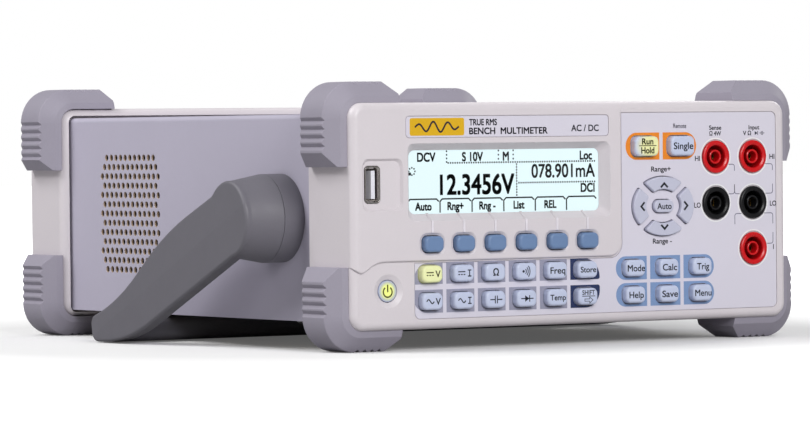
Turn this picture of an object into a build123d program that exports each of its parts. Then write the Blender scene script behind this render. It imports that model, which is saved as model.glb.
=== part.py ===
from build123d import *

import math
import os

# Bench multimeter, 2U high and half a rack wide. Millimetres, +Z up.
# The front panel faces -Y. The origin is on the ground plane under the
# middle of the overall footprint, and X is zero on the mid plane.

# ---- driving dimensions ------------------------------------------------

OVERALL_DEPTH = 290.5        # key fronts to the ends of the rear feet
BUMPER_WIDTH = 231.6         # outside the side bumpers
BUMPER_HEIGHT = 107.0        # outside the top and bottom bumpers
BODY_DEPTH = 263.0           # front panel to the back of the rear bumpers
HANDLE_WIDTH = 258.0         # outside the handle arms

BUMPER_PROUD = 8.5           # rubber thickness over the front bezel
KEY_PROUD = 3.2              # key fronts ahead of the front panel
STEP_PROUD = 1.2             # raised display area ahead of the front panel
WALL = 3.0                   # front panel thickness
SHEET = 1.0                  # case steel
KEY_TRAVEL = 1.2
RUNNING_GAP = 0.35           # clearance around each key cap

# ---- worked out from them ----------------------------------------------

FRAME_W = BUMPER_WIDTH - 2 * BUMPER_PROUD
FRAME_H = BUMPER_HEIGHT - 2 * BUMPER_PROUD
MID_Z = BUMPER_HEIGHT / 2
FRAME_BOTTOM = BUMPER_PROUD
FRAME_TOP = BUMPER_HEIGHT - BUMPER_PROUD

KEY_FRONT = -OVERALL_DEPTH / 2
FACE = KEY_FRONT + KEY_PROUD             # front panel plane
RAISED = FACE - STEP_PROUD               # raised display area plane
BODY_BACK = FACE + BODY_DEPTH
BODY_MID = FACE + BODY_DEPTH / 2
FEET_BACK = OVERALL_DEPTH / 2

BEZEL_DEPTH = 31.3
BEZEL_BACK = FACE + BEZEL_DEPTH
FRAME_REAR = BODY_BACK - 0.5             # back of the rear frame
FRAME_FRONT = FRAME_REAR - 29.3          # front lip of the rear frame
CORNER = 6.0                             # bezel corner seen from the front
EDGE = 3.0                               # rounding of the bezel's front edge
FRAME_EDGE = 4.2                         # rounding of the rear frame's lip

CASE_W = 205.8                           # sheet steel case, outside
CASE_BOTTOM = 11.45
CASE_TOP = 94.4
CASE_FRONT = BEZEL_BACK - 9.0
CASE_REAR = FRAME_FRONT + 2.0            # inside the slot of the rear frame
CASE_BEND = 2.0
SLIP = 0.2                               # case to bezel, all round

BOARD_FRONT = FACE + 8.3                 # circuit board behind the keys
BOARD_THICK = 1.6
MAT_BACK = BOARD_FRONT - 0.1
MAT_FRONT = MAT_BACK - 0.8
DOME_FRONT = MAT_FRONT - 0.5


# ---- shared helpers -----------------------------------------------------


def slab(outline, front, back):
    """Run an X-Z outline from one depth to another."""
    return extrude(Plane.XZ.offset(-back) * outline, back - front)


def side_slab(outline, left, right):
    """Run a Y-Z outline from one X to another."""
    return extrude(Plane.YZ.offset(left) * outline, right - left)


def rounded(x, z, width, height, radius):
    return Pos(x, z) * RectangleRounded(width, height, radius)


def disc(x, z, radius):
    return Pos(x, z) * Circle(radius)


def tapered(x, z, width, height, radius, shrink_x, shrink_z, front, back):
    """A pocket whose walls lean in towards the back."""
    mouth = Plane.XZ.offset(-front) * rounded(x, z, width, height, radius)
    floor = Plane.XZ.offset(-back) * rounded(
        x, z, width - 2 * shrink_x, height - 2 * shrink_z, radius
    )
    return loft([mouth, floor])


def turned(points, x, y, z, direction):
    """Spin an outline of (radius, distance along the axis) about an axis."""
    outline = make_face(Polyline(*[(r, a) for r, a in points], close=True))
    spun = revolve(Plane.XZ * outline, axis=Axis.Z)
    return Plane(origin=(x, y, z), z_dir=direction) * spun


def write(node, pieces):
    """Write one node, which holds one solid or a group of separate ones."""
    shape = Compound(children=pieces) if isinstance(pieces, list) else pieces
    shape.label = node
    export_step(shape, f"parts/{node}.step")


# ---- front panel layout -------------------------------------------------

KEY_PITCH = 15.04
KEY_COLUMNS = [-71.2 + KEY_PITCH * i for i in range(6)]
KEY_W = 9.6
KEY_H = 6.8
KEY_R = 2.3
SOFT_COLUMNS = [x + 1.15 for x in KEY_COLUMNS]
SOFT_KEY_Z = 42.3
SOFT_KEY_W = 9.0
SOFT_KEY_H = 6.4
ROW_Z = [30.5, 19.6]                     # upper and lower row of keys
MENU_COLUMNS = [27.9, 44.8, 61.7]
RUN_Z = 80.1
RUN_COLUMNS = [34.2, 52.3]
RUN_W = 11.9
RUN_H = 8.1
PAD_X = 43.5
PAD_Z = 55.5
PAD_HALF_W = 15.2
PAD_HALF_H = 12.1
PAD_INNER_HALF_W = 8.9
PAD_INNER_HALF_H = 6.9
PAD_GAP = 3.1
PAD_PROUD = 1.6
PAD_CORNER = 0.8
POWER_X = -90.2
POWER_Z = 24.1
POWER_R = 4.3
DISH_R = 6.7
DISH_DEPTH = 1.2

STEP_Z = 35.6                            # lower edge of the raised area
STEP_X = 22.5                            # right edge of the raised area
STEP_R = 6.0

FILM_LEFT = -78.0
FILM_RIGHT = 102.2
FILM_BOTTOM = 12.5
FILM_TOP = 94.0
FILM_THICK = 0.4
FILM_POCKET = 0.5
FILM_GAP = 0.25

STRIP_X = -33.0                          # name strip over the display
STRIP_Z = 88.8
STRIP_W = 98.4
STRIP_H = 8.8

SCREEN_X = -32.3
SCREEN_Z = 66.9
SCREEN_W = 98.1                          # mouth of the display recess
SCREEN_H = 30.7
SCREEN_LEAN_X = 3.0
SCREEN_LEAN_Z = 2.7
WINDOW_W = SCREEN_W - 2 * SCREEN_LEAN_X
WINDOW_H = SCREEN_H - 2 * SCREEN_LEAN_Z

USB_X = -97.4
USB_Z = 66.2
USB_SHELL_W = 7.2
USB_SHELL_H = 14.6
USB_SHELL_R = 1.6
USB_POCKET_W = 19.1
USB_POCKET_H = 20.8

JACK_PITCH = 19.05                       # standard for double banana plugs
JACK_X = 90.0
JACK_Z = 75.4
RED_JACKS = [
    (JACK_X - JACK_PITCH, JACK_Z),
    (JACK_X, JACK_Z),
    (JACK_X, JACK_Z - 2 * JACK_PITCH),
]
BLACK_JACKS = [
    (JACK_X - JACK_PITCH, JACK_Z - JACK_PITCH),
    (JACK_X, JACK_Z - JACK_PITCH),
]
JACK_FLANGE_R = 6.75
JACK_BARREL_R = 6.0
JACK_WELL_R = 4.6
JACK_POST_R = 3.0
JACK_BACK = FACE + 24.0
JACK_PROUD = 0.8
PLUG_R = 2.0                             # 4 mm banana plug
SLEEVE_R = 2.5
SLEEVE_START = 5.0                       # behind the flange
SLEEVE_LENGTH = 18.0


def raised_area():
    """Outline of the raised display area, which runs off the bezel's left and top."""
    dip = Spline(
        (-112, 36.2),
        (-107.3, 33.7),
        (-103.5, 31.3),
        (-99.5, 33.1),
        (-90.5, STEP_Z),
        tangents=[(1, -0.5), (1, 0)],
    )
    bottom = Line(dip @ 1, (STEP_X - STEP_R, STEP_Z))
    corner = RadiusArc(bottom @ 1, (STEP_X, STEP_Z + STEP_R), -STEP_R)
    rest = Polyline(corner @ 1, (STEP_X, 112), (-112, 112), dip @ 0)
    return make_face([dip, bottom, corner, rest])


def film_area(shrink):
    """L-shaped outline of the printed keypad film, pulled in by a margin."""
    sheet = rounded(
        (FILM_LEFT + FILM_RIGHT) / 2,
        (FILM_BOTTOM + FILM_TOP) / 2,
        FILM_RIGHT - FILM_LEFT - 2 * shrink,
        FILM_TOP - FILM_BOTTOM - 2 * shrink,
        2.5,
    )
    clear = STEP_X + 0.6 + shrink
    top = STEP_Z - 0.6 - shrink
    away = Pos((clear - 150) / 2, (top + 150) / 2) * RectangleRounded(
        clear + 150, 150 - top, STEP_R
    )
    return sheet - away


def key_places():
    """Every square key: node name, centre, width and height."""
    places = []
    for number, x in enumerate(SOFT_COLUMNS, 1):
        places.append((f"soft_key_{number}", x, SOFT_KEY_Z, SOFT_KEY_W, SOFT_KEY_H))
    functions = [
        ["key_dc_volts", "key_dc_current", "key_ohms", "key_continuity", "key_frequency", "key_preset"],
        ["key_ac_volts", "key_ac_current", "key_capacitance", "key_diode", "key_sensor", "key_shift"],
    ]
    for z, names in zip(ROW_Z, functions):
        for x, name in zip(KEY_COLUMNS, names):
            places.append((name, x, z, KEY_W, KEY_H))
    menus = [
        ["key_measure", "key_math", "key_trigger"],
        ["key_help", "key_save", "key_utility"],
    ]
    for z, names in zip(ROW_Z, menus):
        for x, name in zip(MENU_COLUMNS, names):
            places.append((name, x, z, KEY_W, KEY_H))
    for x, name in zip(RUN_COLUMNS, ["key_run_hold", "key_single"]):
        places.append((name, x, RUN_Z, RUN_W, RUN_H))
    return places


def pad_sector(angle, grow):
    """One arrow key: a quarter of an oval ring, between diagonal gaps, with soft corners."""
    upright = angle % 180 == 90
    slope = math.atan2(PAD_HALF_H, PAD_HALF_W)
    half = math.pi / 2 - slope if upright else slope
    apex = (PAD_GAP / 2 - grow) / math.sin(half)
    far = 2 * PAD_HALF_W
    spread = far * math.tan(half)
    wedge = make_face(Polyline((apex, 0), (apex + far, spread), (apex + far, -spread), close=True))
    ring = Ellipse(PAD_HALF_W + grow, PAD_HALF_H + grow)
    ring -= Ellipse(PAD_INNER_HALF_W - grow, PAD_INNER_HALF_H - grow)
    sector = Rot(0, 0, 90 if upright else 180) * wedge & ring
    sector = fillet(sector.vertices(), PAD_CORNER)
    return Pos(PAD_X, PAD_Z) * Rot(0, 0, 180 if angle in (0, 270) else 0) * sector


PAD_KEYS = {"arrow_right": 0, "arrow_up": 90, "arrow_left": 180, "arrow_down": 270}
AUTO_W = 9.8
AUTO_H = 5.2


def auto_outline(grow):
    return Pos(PAD_X, PAD_Z) * SlotOverall(AUTO_W + 2 * grow, AUTO_H + 2 * grow)


# ---- front bezel and what it carries ------------------------------------


def bezel_shell():
    """Open-backed moulding with rounded front edges and a raised upper left."""
    outline = rounded(0, MID_Z, FRAME_W, FRAME_H, CORNER)
    base = slab(outline, FACE, BEZEL_BACK)
    base = fillet(base.faces().sort_by(Axis.Y)[0].edges(), EDGE)
    upper = slab(outline, RAISED, BEZEL_BACK)
    upper = fillet(upper.faces().sort_by(Axis.Y)[0].edges(), EDGE)
    area = slab(raised_area(), RAISED, BEZEL_BACK)
    area = fillet(area.faces().sort_by(Axis.Y)[0].edges(), 0.8)
    cavity = slab(
        rounded(0, (CASE_BOTTOM + CASE_TOP) / 2, CASE_W + 2 * SLIP,
                CASE_TOP - CASE_BOTTOM + 2 * SLIP, 2 * SLIP),
        FACE + WALL,
        BEZEL_BACK + 1,
    )
    return base + (upper & area) - cavity


def leader(x):
    """Moulded line from the display down its sloping sill to a soft key."""
    width = 1.0
    height = 0.35
    start = SOFT_KEY_Z + SOFT_KEY_H / 2 + 1.3
    sill_bottom = SCREEN_Z - SCREEN_H / 2
    sill_top = sill_bottom + SCREEN_LEAN_Z
    sill_depth = WALL + STEP_PROUD
    points = [
        (RAISED + 1, start),
        (RAISED - height, start),
        (RAISED - height, sill_bottom),
        (RAISED + sill_depth - 0.2, sill_top + height),
        (RAISED + sill_depth, sill_top - 0.6),
        (RAISED + 1, sill_bottom - 1),
    ]
    outline = make_face(Polyline(*points, close=True))
    return side_slab(outline, x - width / 2, x + width / 2)


def front_bezel():
    body = bezel_shell()
    body -= slab(film_area(0), FACE - 1, FACE + FILM_POCKET)
    body -= slab(rounded(STRIP_X, STRIP_Z, STRIP_W, STRIP_H, 1.6), RAISED - 1, RAISED + FILM_POCKET)
    body -= tapered(SCREEN_X, SCREEN_Z, SCREEN_W, SCREEN_H, 2.6, SCREEN_LEAN_X, SCREEN_LEAN_Z,
                    RAISED, FACE + WALL)
    for x in SOFT_COLUMNS:
        body += leader(x)
        body -= tapered(x, SOFT_KEY_Z, SOFT_KEY_W + 3.0, SOFT_KEY_H + 2.6, KEY_R + 1.0, 0.8, 0.8,
                        RAISED, RAISED + 0.7)
    holes = [
        rounded(x, z, w + 2 * RUNNING_GAP, h + 2 * RUNNING_GAP, KEY_R + RUNNING_GAP)
        for _, x, z, w, h in key_places()
    ]
    holes += [pad_sector(angle, RUNNING_GAP) for angle in PAD_KEYS.values()]
    holes.append(auto_outline(RUNNING_GAP))
    holes.append(disc(POWER_X, POWER_Z, POWER_R + 0.25))
    holes += [disc(x, z, JACK_BARREL_R + 0.1) for x, z in RED_JACKS + BLACK_JACKS]
    holes.append(rounded(USB_X, USB_Z, USB_SHELL_W + 0.4, USB_SHELL_H + 0.4, USB_SHELL_R + 0.2))
    for hole in holes:
        body -= slab(hole, RAISED - 1, FACE + WALL + 1)
    body -= power_dish()
    body -= tapered(USB_X + 4.3, USB_Z - 0.2, USB_POCKET_W, USB_POCKET_H, 3.0, 0.9, 0.9, RAISED, FACE)
    return body


def power_dish():
    """Shallow cone around the standby button."""
    profile = [(0, 0), (DISH_R, 0), (POWER_R, DISH_DEPTH), (0, DISH_DEPTH)]
    return turned(profile, POWER_X, FACE, POWER_Z, (0, 1, 0))


def panel_films():
    """Printed keypad film and the name strip above the display."""
    film = slab(film_area(FILM_GAP), FACE + FILM_POCKET - FILM_THICK, FACE + FILM_POCKET)
    holes = [
        rounded(x, z, w + 2 * RUNNING_GAP, h + 2 * RUNNING_GAP, KEY_R + RUNNING_GAP)
        for _, x, z, w, h in key_places()
        if z != SOFT_KEY_Z
    ]
    holes += [pad_sector(angle, RUNNING_GAP) for angle in PAD_KEYS.values()]
    holes.append(auto_outline(RUNNING_GAP))
    holes += [disc(x, z, JACK_FLANGE_R + 0.5) for x, z in RED_JACKS + BLACK_JACKS]
    for hole in holes:
        film -= slab(hole, FACE - 1, FACE + 2)
    strip = slab(
        rounded(STRIP_X, STRIP_Z, STRIP_W - 2 * FILM_GAP, STRIP_H - 2 * FILM_GAP, 1.4),
        RAISED + FILM_POCKET - FILM_THICK,
        RAISED + FILM_POCKET,
    )
    return [film, strip]


# ---- keys -----------------------------------------------------------------

FLANGE_FRONT = FACE + WALL + 0.1
FLANGE_BACK = FLANGE_FRONT + 1.0
PLUNGER_BACK = DOME_FRONT - KEY_TRAVEL - 0.1
PLUNGER_R = 2.0
FLANGE_OVERLAP = 0.9


def key(outline, flange, x, z, front, rounding):
    """A cap through the panel, a flange behind it and a plunger to its dome."""
    cap = slab(outline, front, FLANGE_BACK)
    cap = fillet(cap.faces().sort_by(Axis.Y)[0].edges(), rounding)
    plunger = slab(disc(x, z, PLUNGER_R), FLANGE_BACK, PLUNGER_BACK)
    return cap + slab(flange, FLANGE_FRONT, FLANGE_BACK) + plunger


def square_key(x, z, width, height):
    outline = rounded(x, z, width, height, KEY_R)
    flange = rounded(x, z, width + 2 * FLANGE_OVERLAP, height + 2 * FLANGE_OVERLAP, KEY_R)
    return key(outline, flange, x, z, KEY_FRONT, 1.1)


def arrow_key(angle):
    across = (PAD_HALF_W + PAD_INNER_HALF_W) / 2
    up = (PAD_HALF_H + PAD_INNER_HALF_H) / 2
    x = PAD_X + across * round(math.cos(math.radians(angle)))
    z = PAD_Z + up * round(math.sin(math.radians(angle)))
    return key(pad_sector(angle, 0), pad_sector(angle, 0.5), x, z, FACE - PAD_PROUD, 0.5)


def auto_key():
    return key(auto_outline(0), auto_outline(0.5), PAD_X, PAD_Z, FACE - PAD_PROUD, 0.5)


def power_button():
    """Round standby button, level with the floor of its dish."""
    front = FACE + DISH_DEPTH - 0.5
    return key(disc(POWER_X, POWER_Z, POWER_R), disc(POWER_X, POWER_Z, POWER_R + FLANGE_OVERLAP),
               POWER_X, POWER_Z, front, 0.5)


def plunger_places():
    """Centres of every dome on the contact mat."""
    places = [(x, z) for _, x, z, _, _ in key_places()]
    places += [(PAD_X, PAD_Z), (POWER_X, POWER_Z)]
    across = (PAD_HALF_W + PAD_INNER_HALF_W) / 2
    up = (PAD_HALF_H + PAD_INNER_HALF_H) / 2
    places += [(PAD_X + across, PAD_Z), (PAD_X - across, PAD_Z)]
    places += [(PAD_X, PAD_Z + up), (PAD_X, PAD_Z - up)]
    return places


# ---- display, boards and connectors behind the bezel -----------------------

WINDOW_BACK = FACE + WALL + 1.3


def display_window():
    """Clear plate against the back of the display opening."""
    return slab(rounded(SCREEN_X, SCREEN_Z, WINDOW_W + 4, WINDOW_H + 3, 1.5),
                FACE + WALL + 0.1, WINDOW_BACK)


def display_module():
    """Liquid crystal glass in a metal-framed carrier on the front board."""
    carrier = slab(rounded(SCREEN_X, SCREEN_Z, WINDOW_W + 6, WINDOW_H + 6, 1.0),
                   WINDOW_BACK + 0.1, BOARD_FRONT - 0.1)
    glass_recess = slab(rounded(SCREEN_X, SCREEN_Z, WINDOW_W + 1, WINDOW_H + 1, 0.5),
                        WINDOW_BACK, WINDOW_BACK + 0.5)
    return carrier - glass_recess


def front_board():
    """Key and display circuit board, with holes for the input jacks."""
    board = slab(rounded(-2.0, 53, 202, 79, 2), BOARD_FRONT, BOARD_FRONT + BOARD_THICK)
    for x, z in RED_JACKS + BLACK_JACKS:
        board -= slab(disc(x, z, JACK_BARREL_R + 0.5), BOARD_FRONT - 1, BOARD_FRONT + 3)
    return board


def key_mat():
    """Silicone contact mat: one sheet with a dome under every key."""
    lower = slab(rounded(-5.5, 29.2, 152, 33.5, 2), MAT_FRONT, MAT_BACK)
    right = slab(rounded(42, 52, 45, 79, 2), MAT_FRONT, MAT_BACK)
    left = slab(rounded(POWER_X + 4, POWER_Z, 24, 16, 2), MAT_FRONT, MAT_BACK)
    mat = lower + right + left
    for x, z in RED_JACKS + BLACK_JACKS:
        mat -= slab(disc(x, z, JACK_BARREL_R + 0.5), MAT_FRONT - 1, MAT_BACK + 1)
    for x, z in plunger_places():
        mat += slab(disc(x, z, PLUNGER_R + 0.5), DOME_FRONT, MAT_BACK)
    return mat


def usb_port():
    """Host port: a folded steel shell with a flared mouth around its tongue."""
    front = FACE - 0.3
    back = BOARD_FRONT - 0.1
    bore_w = 5.1
    bore_h = 12.5
    flare = 0.55
    shell = slab(rounded(USB_X, USB_Z, USB_SHELL_W, USB_SHELL_H, USB_SHELL_R), front, front + 1.0)
    shell += slab(rounded(USB_X, USB_Z, bore_w + 0.6, bore_h + 0.6, 0.5), front, back)
    mouth = tapered(USB_X, USB_Z, bore_w + 2 * flare, bore_h + 2 * flare, 0.9, flare, flare,
                    front, front + 0.8)
    shell -= mouth + slab(rounded(USB_X, USB_Z, bore_w, bore_h, 0.3), front, back - 1.1)
    tongue = Pos(USB_X + 0.5, USB_Z) * Rectangle(1.8, bore_h - 1.4)
    return shell + slab(tongue, front + 0.6, back - 1.0)


def jack_body(x, z):
    """Shrouded 4 mm safety jack: flange, annular well and centre post."""
    front = FACE - JACK_PROUD
    well = 10.0
    depth = JACK_BACK - front
    post = 0.8                            # the post sits back from the flange
    bore_r = PLUG_R + 0.02
    profile = [
        (SLEEVE_R, depth),
        (SLEEVE_R, SLEEVE_START),
        (bore_r, SLEEVE_START - 0.3),
        (bore_r, post + 0.6),
        (bore_r + 0.15, post + 0.15),
        (bore_r + 0.35, post),
        (JACK_POST_R - 0.3, post),
        (JACK_POST_R - 0.1, post + 0.1),
        (JACK_POST_R, post + 0.4),
        (JACK_POST_R + 0.1, well),
        (JACK_WELL_R, well),
        (JACK_WELL_R, 1.0),
        (JACK_WELL_R + 0.25, 0.4),
        (JACK_WELL_R + 0.9, 0),
        (JACK_FLANGE_R - 0.5, 0),
        (JACK_FLANGE_R - 0.15, 0.15),
        (JACK_FLANGE_R, 0.5),
        (JACK_FLANGE_R, JACK_PROUD + FILM_POCKET),
        (JACK_BARREL_R, JACK_PROUD + FILM_POCKET),
        (JACK_BARREL_R, depth),
    ]
    return turned(profile, x, front, z, (0, 1, 0))


def jack_contact(x, z):
    """Brass sleeve that takes the plug, with a solder tail behind."""
    front = FACE - JACK_PROUD + SLEEVE_START
    depth = JACK_BACK - front
    profile = [
        (0, depth + 5),
        (0, SLEEVE_LENGTH),
        (PLUG_R, SLEEVE_LENGTH),
        (PLUG_R, 0),
        (SLEEVE_R, 0),
        (SLEEVE_R, depth),
        (1.0, depth),
        (1.0, depth + 5),
    ]
    return turned(profile, x, front, z, (0, 1, 0))


# ---- rubber corner bumpers --------------------------------------------------

FLAT_START = 7.9                         # outer flat, behind the front panel
FLAT_END = 23.8
LIP_START = 2.5
LIP_END = FLAT_START + FLAT_END - LIP_START
BAND = 2.6                               # steep inner band beside the bezel
FRONT_LEG = 33.7                         # each leg of a front bumper, from the outer corner
FRONT_FLAT = 28.1                        # where its end slope starts
FRONT_RIBS = 4
REAR_LEG = 35.1
REAR_FLAT = 30.5
REAR_RIBS = 5
END_DROP = 5.0                           # how far an end slope drops
RIB_FIRST = 15.4
RIB_PITCH = 3.42
RIB_DEPTH = 1.1
RIB_HALF = 1.35


def bumper(leg, flat, ribs):
    """Front lower left bumper: a band swept round the bezel's corner."""
    half = FRAME_W / 2
    inset = leg - BUMPER_PROUD
    down = Line((-half, FRAME_BOTTOM + inset), (-half, FRAME_BOTTOM + CORNER))
    bend = CenterArc((-half + CORNER, FRAME_BOTTOM + CORNER), CORNER, 180, 90)
    along = Line((-half + CORNER, FRAME_BOTTOM), (-half + inset, FRAME_BOTTOM))
    path = Plane.XZ.offset(-FACE) * Curve(children=[down, bend, along])
    section = make_face(Polyline(
        (0, LIP_START),
        (BAND, LIP_START + 0.8),
        (BUMPER_PROUD, FLAT_START),
        (BUMPER_PROUD, FLAT_END),
        (BAND, LIP_END - 0.8),
        (0, LIP_END),
        close=True,
    ))
    section = fillet(section.vertices().filter_by(lambda v: v.X > BAND + 1), 0.5)
    start = Plane(origin=(-half, FACE, FRAME_BOTTOM + inset), x_dir=(-1, 0, 0), z_dir=(0, 0, -1))
    band = sweep(start * section, path=Wire(path.edges()))
    for cut in bumper_cuts(leg, flat, ribs):
        band -= cut
    return band


def bumper_cuts(leg, flat, ribs):
    """End slopes and grooves, in distances along a leg and down from its flat."""
    past = leg + 9
    outlines = [[(flat, 0), (leg + 0.1, END_DROP), (past, END_DROP), (past, -9), (flat, -9)]]
    for i in range(ribs):
        d = RIB_FIRST + RIB_PITCH * i
        outlines.append([(d - RIB_HALF, 0), (d, RIB_DEPTH), (d + RIB_HALF, 0), (d, -RIB_DEPTH)])
    corner = -BUMPER_WIDTH / 2
    for points in outlines:
        side = [(corner + t, d) for d, t in points]
        under = [(corner + d, t) for d, t in points]
        for outline in (side, under):
            yield slab(make_face(Polyline(*outline, close=True)), FACE, FACE + LIP_END + 9)


def four_corners(piece):
    """The piece and its mirror images at the other three corners, seen from the front."""
    right = mirror(piece, Plane.YZ)
    upper = Plane.XY.offset(MID_Z)
    return [piece, right, mirror(piece, upper), mirror(right, upper)]


def rear_bumpers():
    """The rear four, which face the other way and have one groove more."""
    middle = Plane.XZ.offset(-BODY_MID)
    return [mirror(piece, middle) for piece in four_corners(bumper(REAR_LEG, REAR_FLAT, REAR_RIBS))]


# ---- sheet metal case ---------------------------------------------------------

VENT_PITCH = 3.97
VENT_R = 1.4
VENT_ROWS = 13
VENT_MID_Y = 40.3
VENT_MID_Z = 53.4
TRAY_FLANGE = 14.0
SCREW_R = 1.5
SCREW_FEET = [(x, y) for x in (-88, 88) for y in (-75, 62)]


def vent_places():
    """Staggered rows of holes: 13 and 12 in turn, with 11 in the end rows."""
    middle = (VENT_ROWS - 1) // 2
    for row in range(VENT_ROWS):
        count = 13 if row % 2 == 0 else 12
        if row in (0, VENT_ROWS - 1):
            count = 11
        z = VENT_MID_Z + (row - middle) * VENT_PITCH
        for column in range(count):
            yield VENT_MID_Y + (column - (count - 1) / 2) * VENT_PITCH, z


def case_cover():
    """Folded sheet over the top and both sides, vented towards the rear."""
    height = CASE_TOP - CASE_BOTTOM
    outside = Pos(0, CASE_BOTTOM + height / 2) * Rectangle(CASE_W, height)
    outside = fillet(outside.vertices().group_by(Axis.Y)[-1], CASE_BEND)
    inside = Pos(0, CASE_BOTTOM + height / 2 - SHEET) * Rectangle(CASE_W - 2 * SHEET, height)
    inside = fillet(inside.vertices().group_by(Axis.Y)[-1], CASE_BEND - SHEET)
    cover = slab(outside - inside, CASE_FRONT, CASE_REAR)
    vents = Sketch(children=[Pos(y, z) * Circle(VENT_R) for y, z in vent_places()])
    stud_hole = Pos(PIVOT_Y, PIVOT_Z) * Circle(BOSS_STUD_R + 0.1)
    for left in (-CASE_W / 2 - 1, CASE_W / 2 - SHEET - 1):
        cover -= side_slab(vents, left, left + SHEET + 2)
        cover -= side_slab(stud_hole, left, left + SHEET + 2)
    return cover


STANDOFFS = [(x, y) for x in (-70, 80) for y in (-85, -10, 65)]
STANDOFF_TOP = 20.0


def chassis_tray():
    """Bottom pan with upturned side flanges, and standoffs for the main board."""
    half = CASE_W / 2 - SHEET - 0.1
    outline = Pos(0, CASE_BOTTOM + TRAY_FLANGE / 2) * Rectangle(2 * half, TRAY_FLANGE)
    hollow = Pos(0, CASE_BOTTOM + SHEET + TRAY_FLANGE / 2) * Rectangle(2 * half - 2 * SHEET, TRAY_FLANGE)
    tray = slab(outline - hollow, CASE_FRONT, CASE_REAR)
    for x, y in STANDOFFS:
        post = Cylinder(3.0, STANDOFF_TOP - CASE_BOTTOM - SHEET / 2,
                        align=(Align.CENTER, Align.CENTER, Align.MIN))
        tray += Pos(x, y, CASE_BOTTOM + SHEET / 2) * post
    for x, y in SCREW_FEET:
        tray -= Pos(x, y, CASE_BOTTOM) * Cylinder(SCREW_R + 0.2, 4)
    return tray


# ---- rear frame and panel -----------------------------------------------------

RING = 7.0                               # thickness of the rear ring
OPENING_W = 172.0
OPENING_H = 72.0
PANEL_BACK = FRAME_REAR - RING
PANEL_THICK = 1.2
PANEL_W = 204.0
PANEL_H = 80.0
TONGUE = 8.0                             # reaches under the case cover
SLOT_GAP = 1.1                           # round the case, where it enters the frame
SLOT_DEPTH = 4.0

INLET_X = -60.0
INLET_Z = 36.0
INLET_W = 48.0
INLET_H = 24.0
SWITCH_Z = 69.0
SWITCH_W = 27.0
SWITCH_H = 20.0
FUSE_PLACES = [(-20.0, 36.0), (-20.0, 69.0)]
FUSE_R = 6.4
BNC_PLACES = [(1.0, 69.0), (21.0, 69.0)]
BNC_R = 4.8
LAN_X = 14.0
USB_B_X = 40.0
LOW_PORT_Z = 34.0
SERIAL_X = 68.0
SERIAL_Z = 34.0
BUS_X = 57.0
BUS_Z = 69.0
FOOT_X = 92.3
FOOT_Z = 21.9
FOOT_W = 10.0
FOOT_H = 10.5
LOWER_SCREWS = [(x, FOOT_Z) for x in (-FOOT_X, FOOT_X)]          # these hold the feet as well
UPPER_SCREWS = [(x, 2 * MID_Z - FOOT_Z) for x in (-FOOT_X, FOOT_X)]


def rear_frame():
    """Rear moulding: a rounded ring with a tongue that enters the case."""
    outline = rounded(0, MID_Z, FRAME_W, FRAME_H, CORNER)
    frame = slab(outline, FRAME_FRONT, FRAME_REAR)
    frame = fillet(frame.faces().sort_by(Axis.Y)[0].edges(), FRAME_EDGE)
    frame = fillet(frame.faces().sort_by(Axis.Y)[-1].edges(), 1.5)
    case_h = CASE_TOP - CASE_BOTTOM
    tongue_w = CASE_W - 4 * SHEET - 1.0
    tongue_h = case_h - 2 * SHEET - 0.6
    middle = (CASE_TOP + CASE_BOTTOM) / 2
    slot = rounded(0, middle, CASE_W + 2 * SLOT_GAP, case_h + 2 * SLOT_GAP, CASE_BEND + SLOT_GAP)
    slot -= rounded(0, middle, tongue_w + 0.4, tongue_h + 0.3, 1.6)
    frame -= slab(slot, FRAME_FRONT - 1, FRAME_FRONT + SLOT_DEPTH)
    frame += slab(rounded(0, middle, tongue_w, tongue_h, 1.5), FRAME_FRONT - TONGUE, FRAME_FRONT + 1)
    frame -= slab(rounded(0, middle, tongue_w - 6, tongue_h - 6, 1.0), FRAME_FRONT - TONGUE - 1,
                  FRAME_FRONT + SLOT_DEPTH)
    frame -= slab(rounded(0, MID_Z, PANEL_W + 0.4, PANEL_H + 0.4, 2.0), FRAME_FRONT + SLOT_DEPTH + 2,
                  PANEL_BACK)
    frame -= slab(rounded(0, MID_Z, OPENING_W, OPENING_H, 3.0), FRAME_FRONT, FRAME_REAR + 1)
    for x, z in LOWER_SCREWS + UPPER_SCREWS:
        frame -= slab(disc(x, z, SCREW_R + 0.2), PANEL_BACK - 1, FRAME_REAR + 1)
    return frame


def rear_panel():
    """Steel connector panel, clamped against the inside of the rear ring."""
    panel = slab(rounded(0, MID_Z, PANEL_W, PANEL_H, 2.0), PANEL_BACK - PANEL_THICK, PANEL_BACK)
    holes = [
        Pos(INLET_X, INLET_Z) * Rectangle(28.2, 20.4),
        Pos(INLET_X, SWITCH_Z) * Rectangle(SWITCH_W, SWITCH_H),
        Pos(LAN_X, LOW_PORT_Z) * Rectangle(16.4, 14.0),
        Pos(USB_B_X, LOW_PORT_Z) * Rectangle(12.4, 11.2),
        Pos(SERIAL_X, SERIAL_Z) * RectangleRounded(20.0, 11.6, 2.0),
        Pos(BUS_X, BUS_Z) * RectangleRounded(42.0, 12.6, 2.0),
    ]
    holes += [disc(x, z, FUSE_R + 0.15) for x, z in FUSE_PLACES]
    holes += [disc(x, z, BNC_R + 0.15) for x, z in BNC_PLACES]
    holes += [disc(x, z, SCREW_R + 0.2) for x, z in LOWER_SCREWS + UPPER_SCREWS]
    for hole in holes:
        panel -= slab(hole, PANEL_BACK - 3, PANEL_BACK + 1)
    return panel


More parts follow.
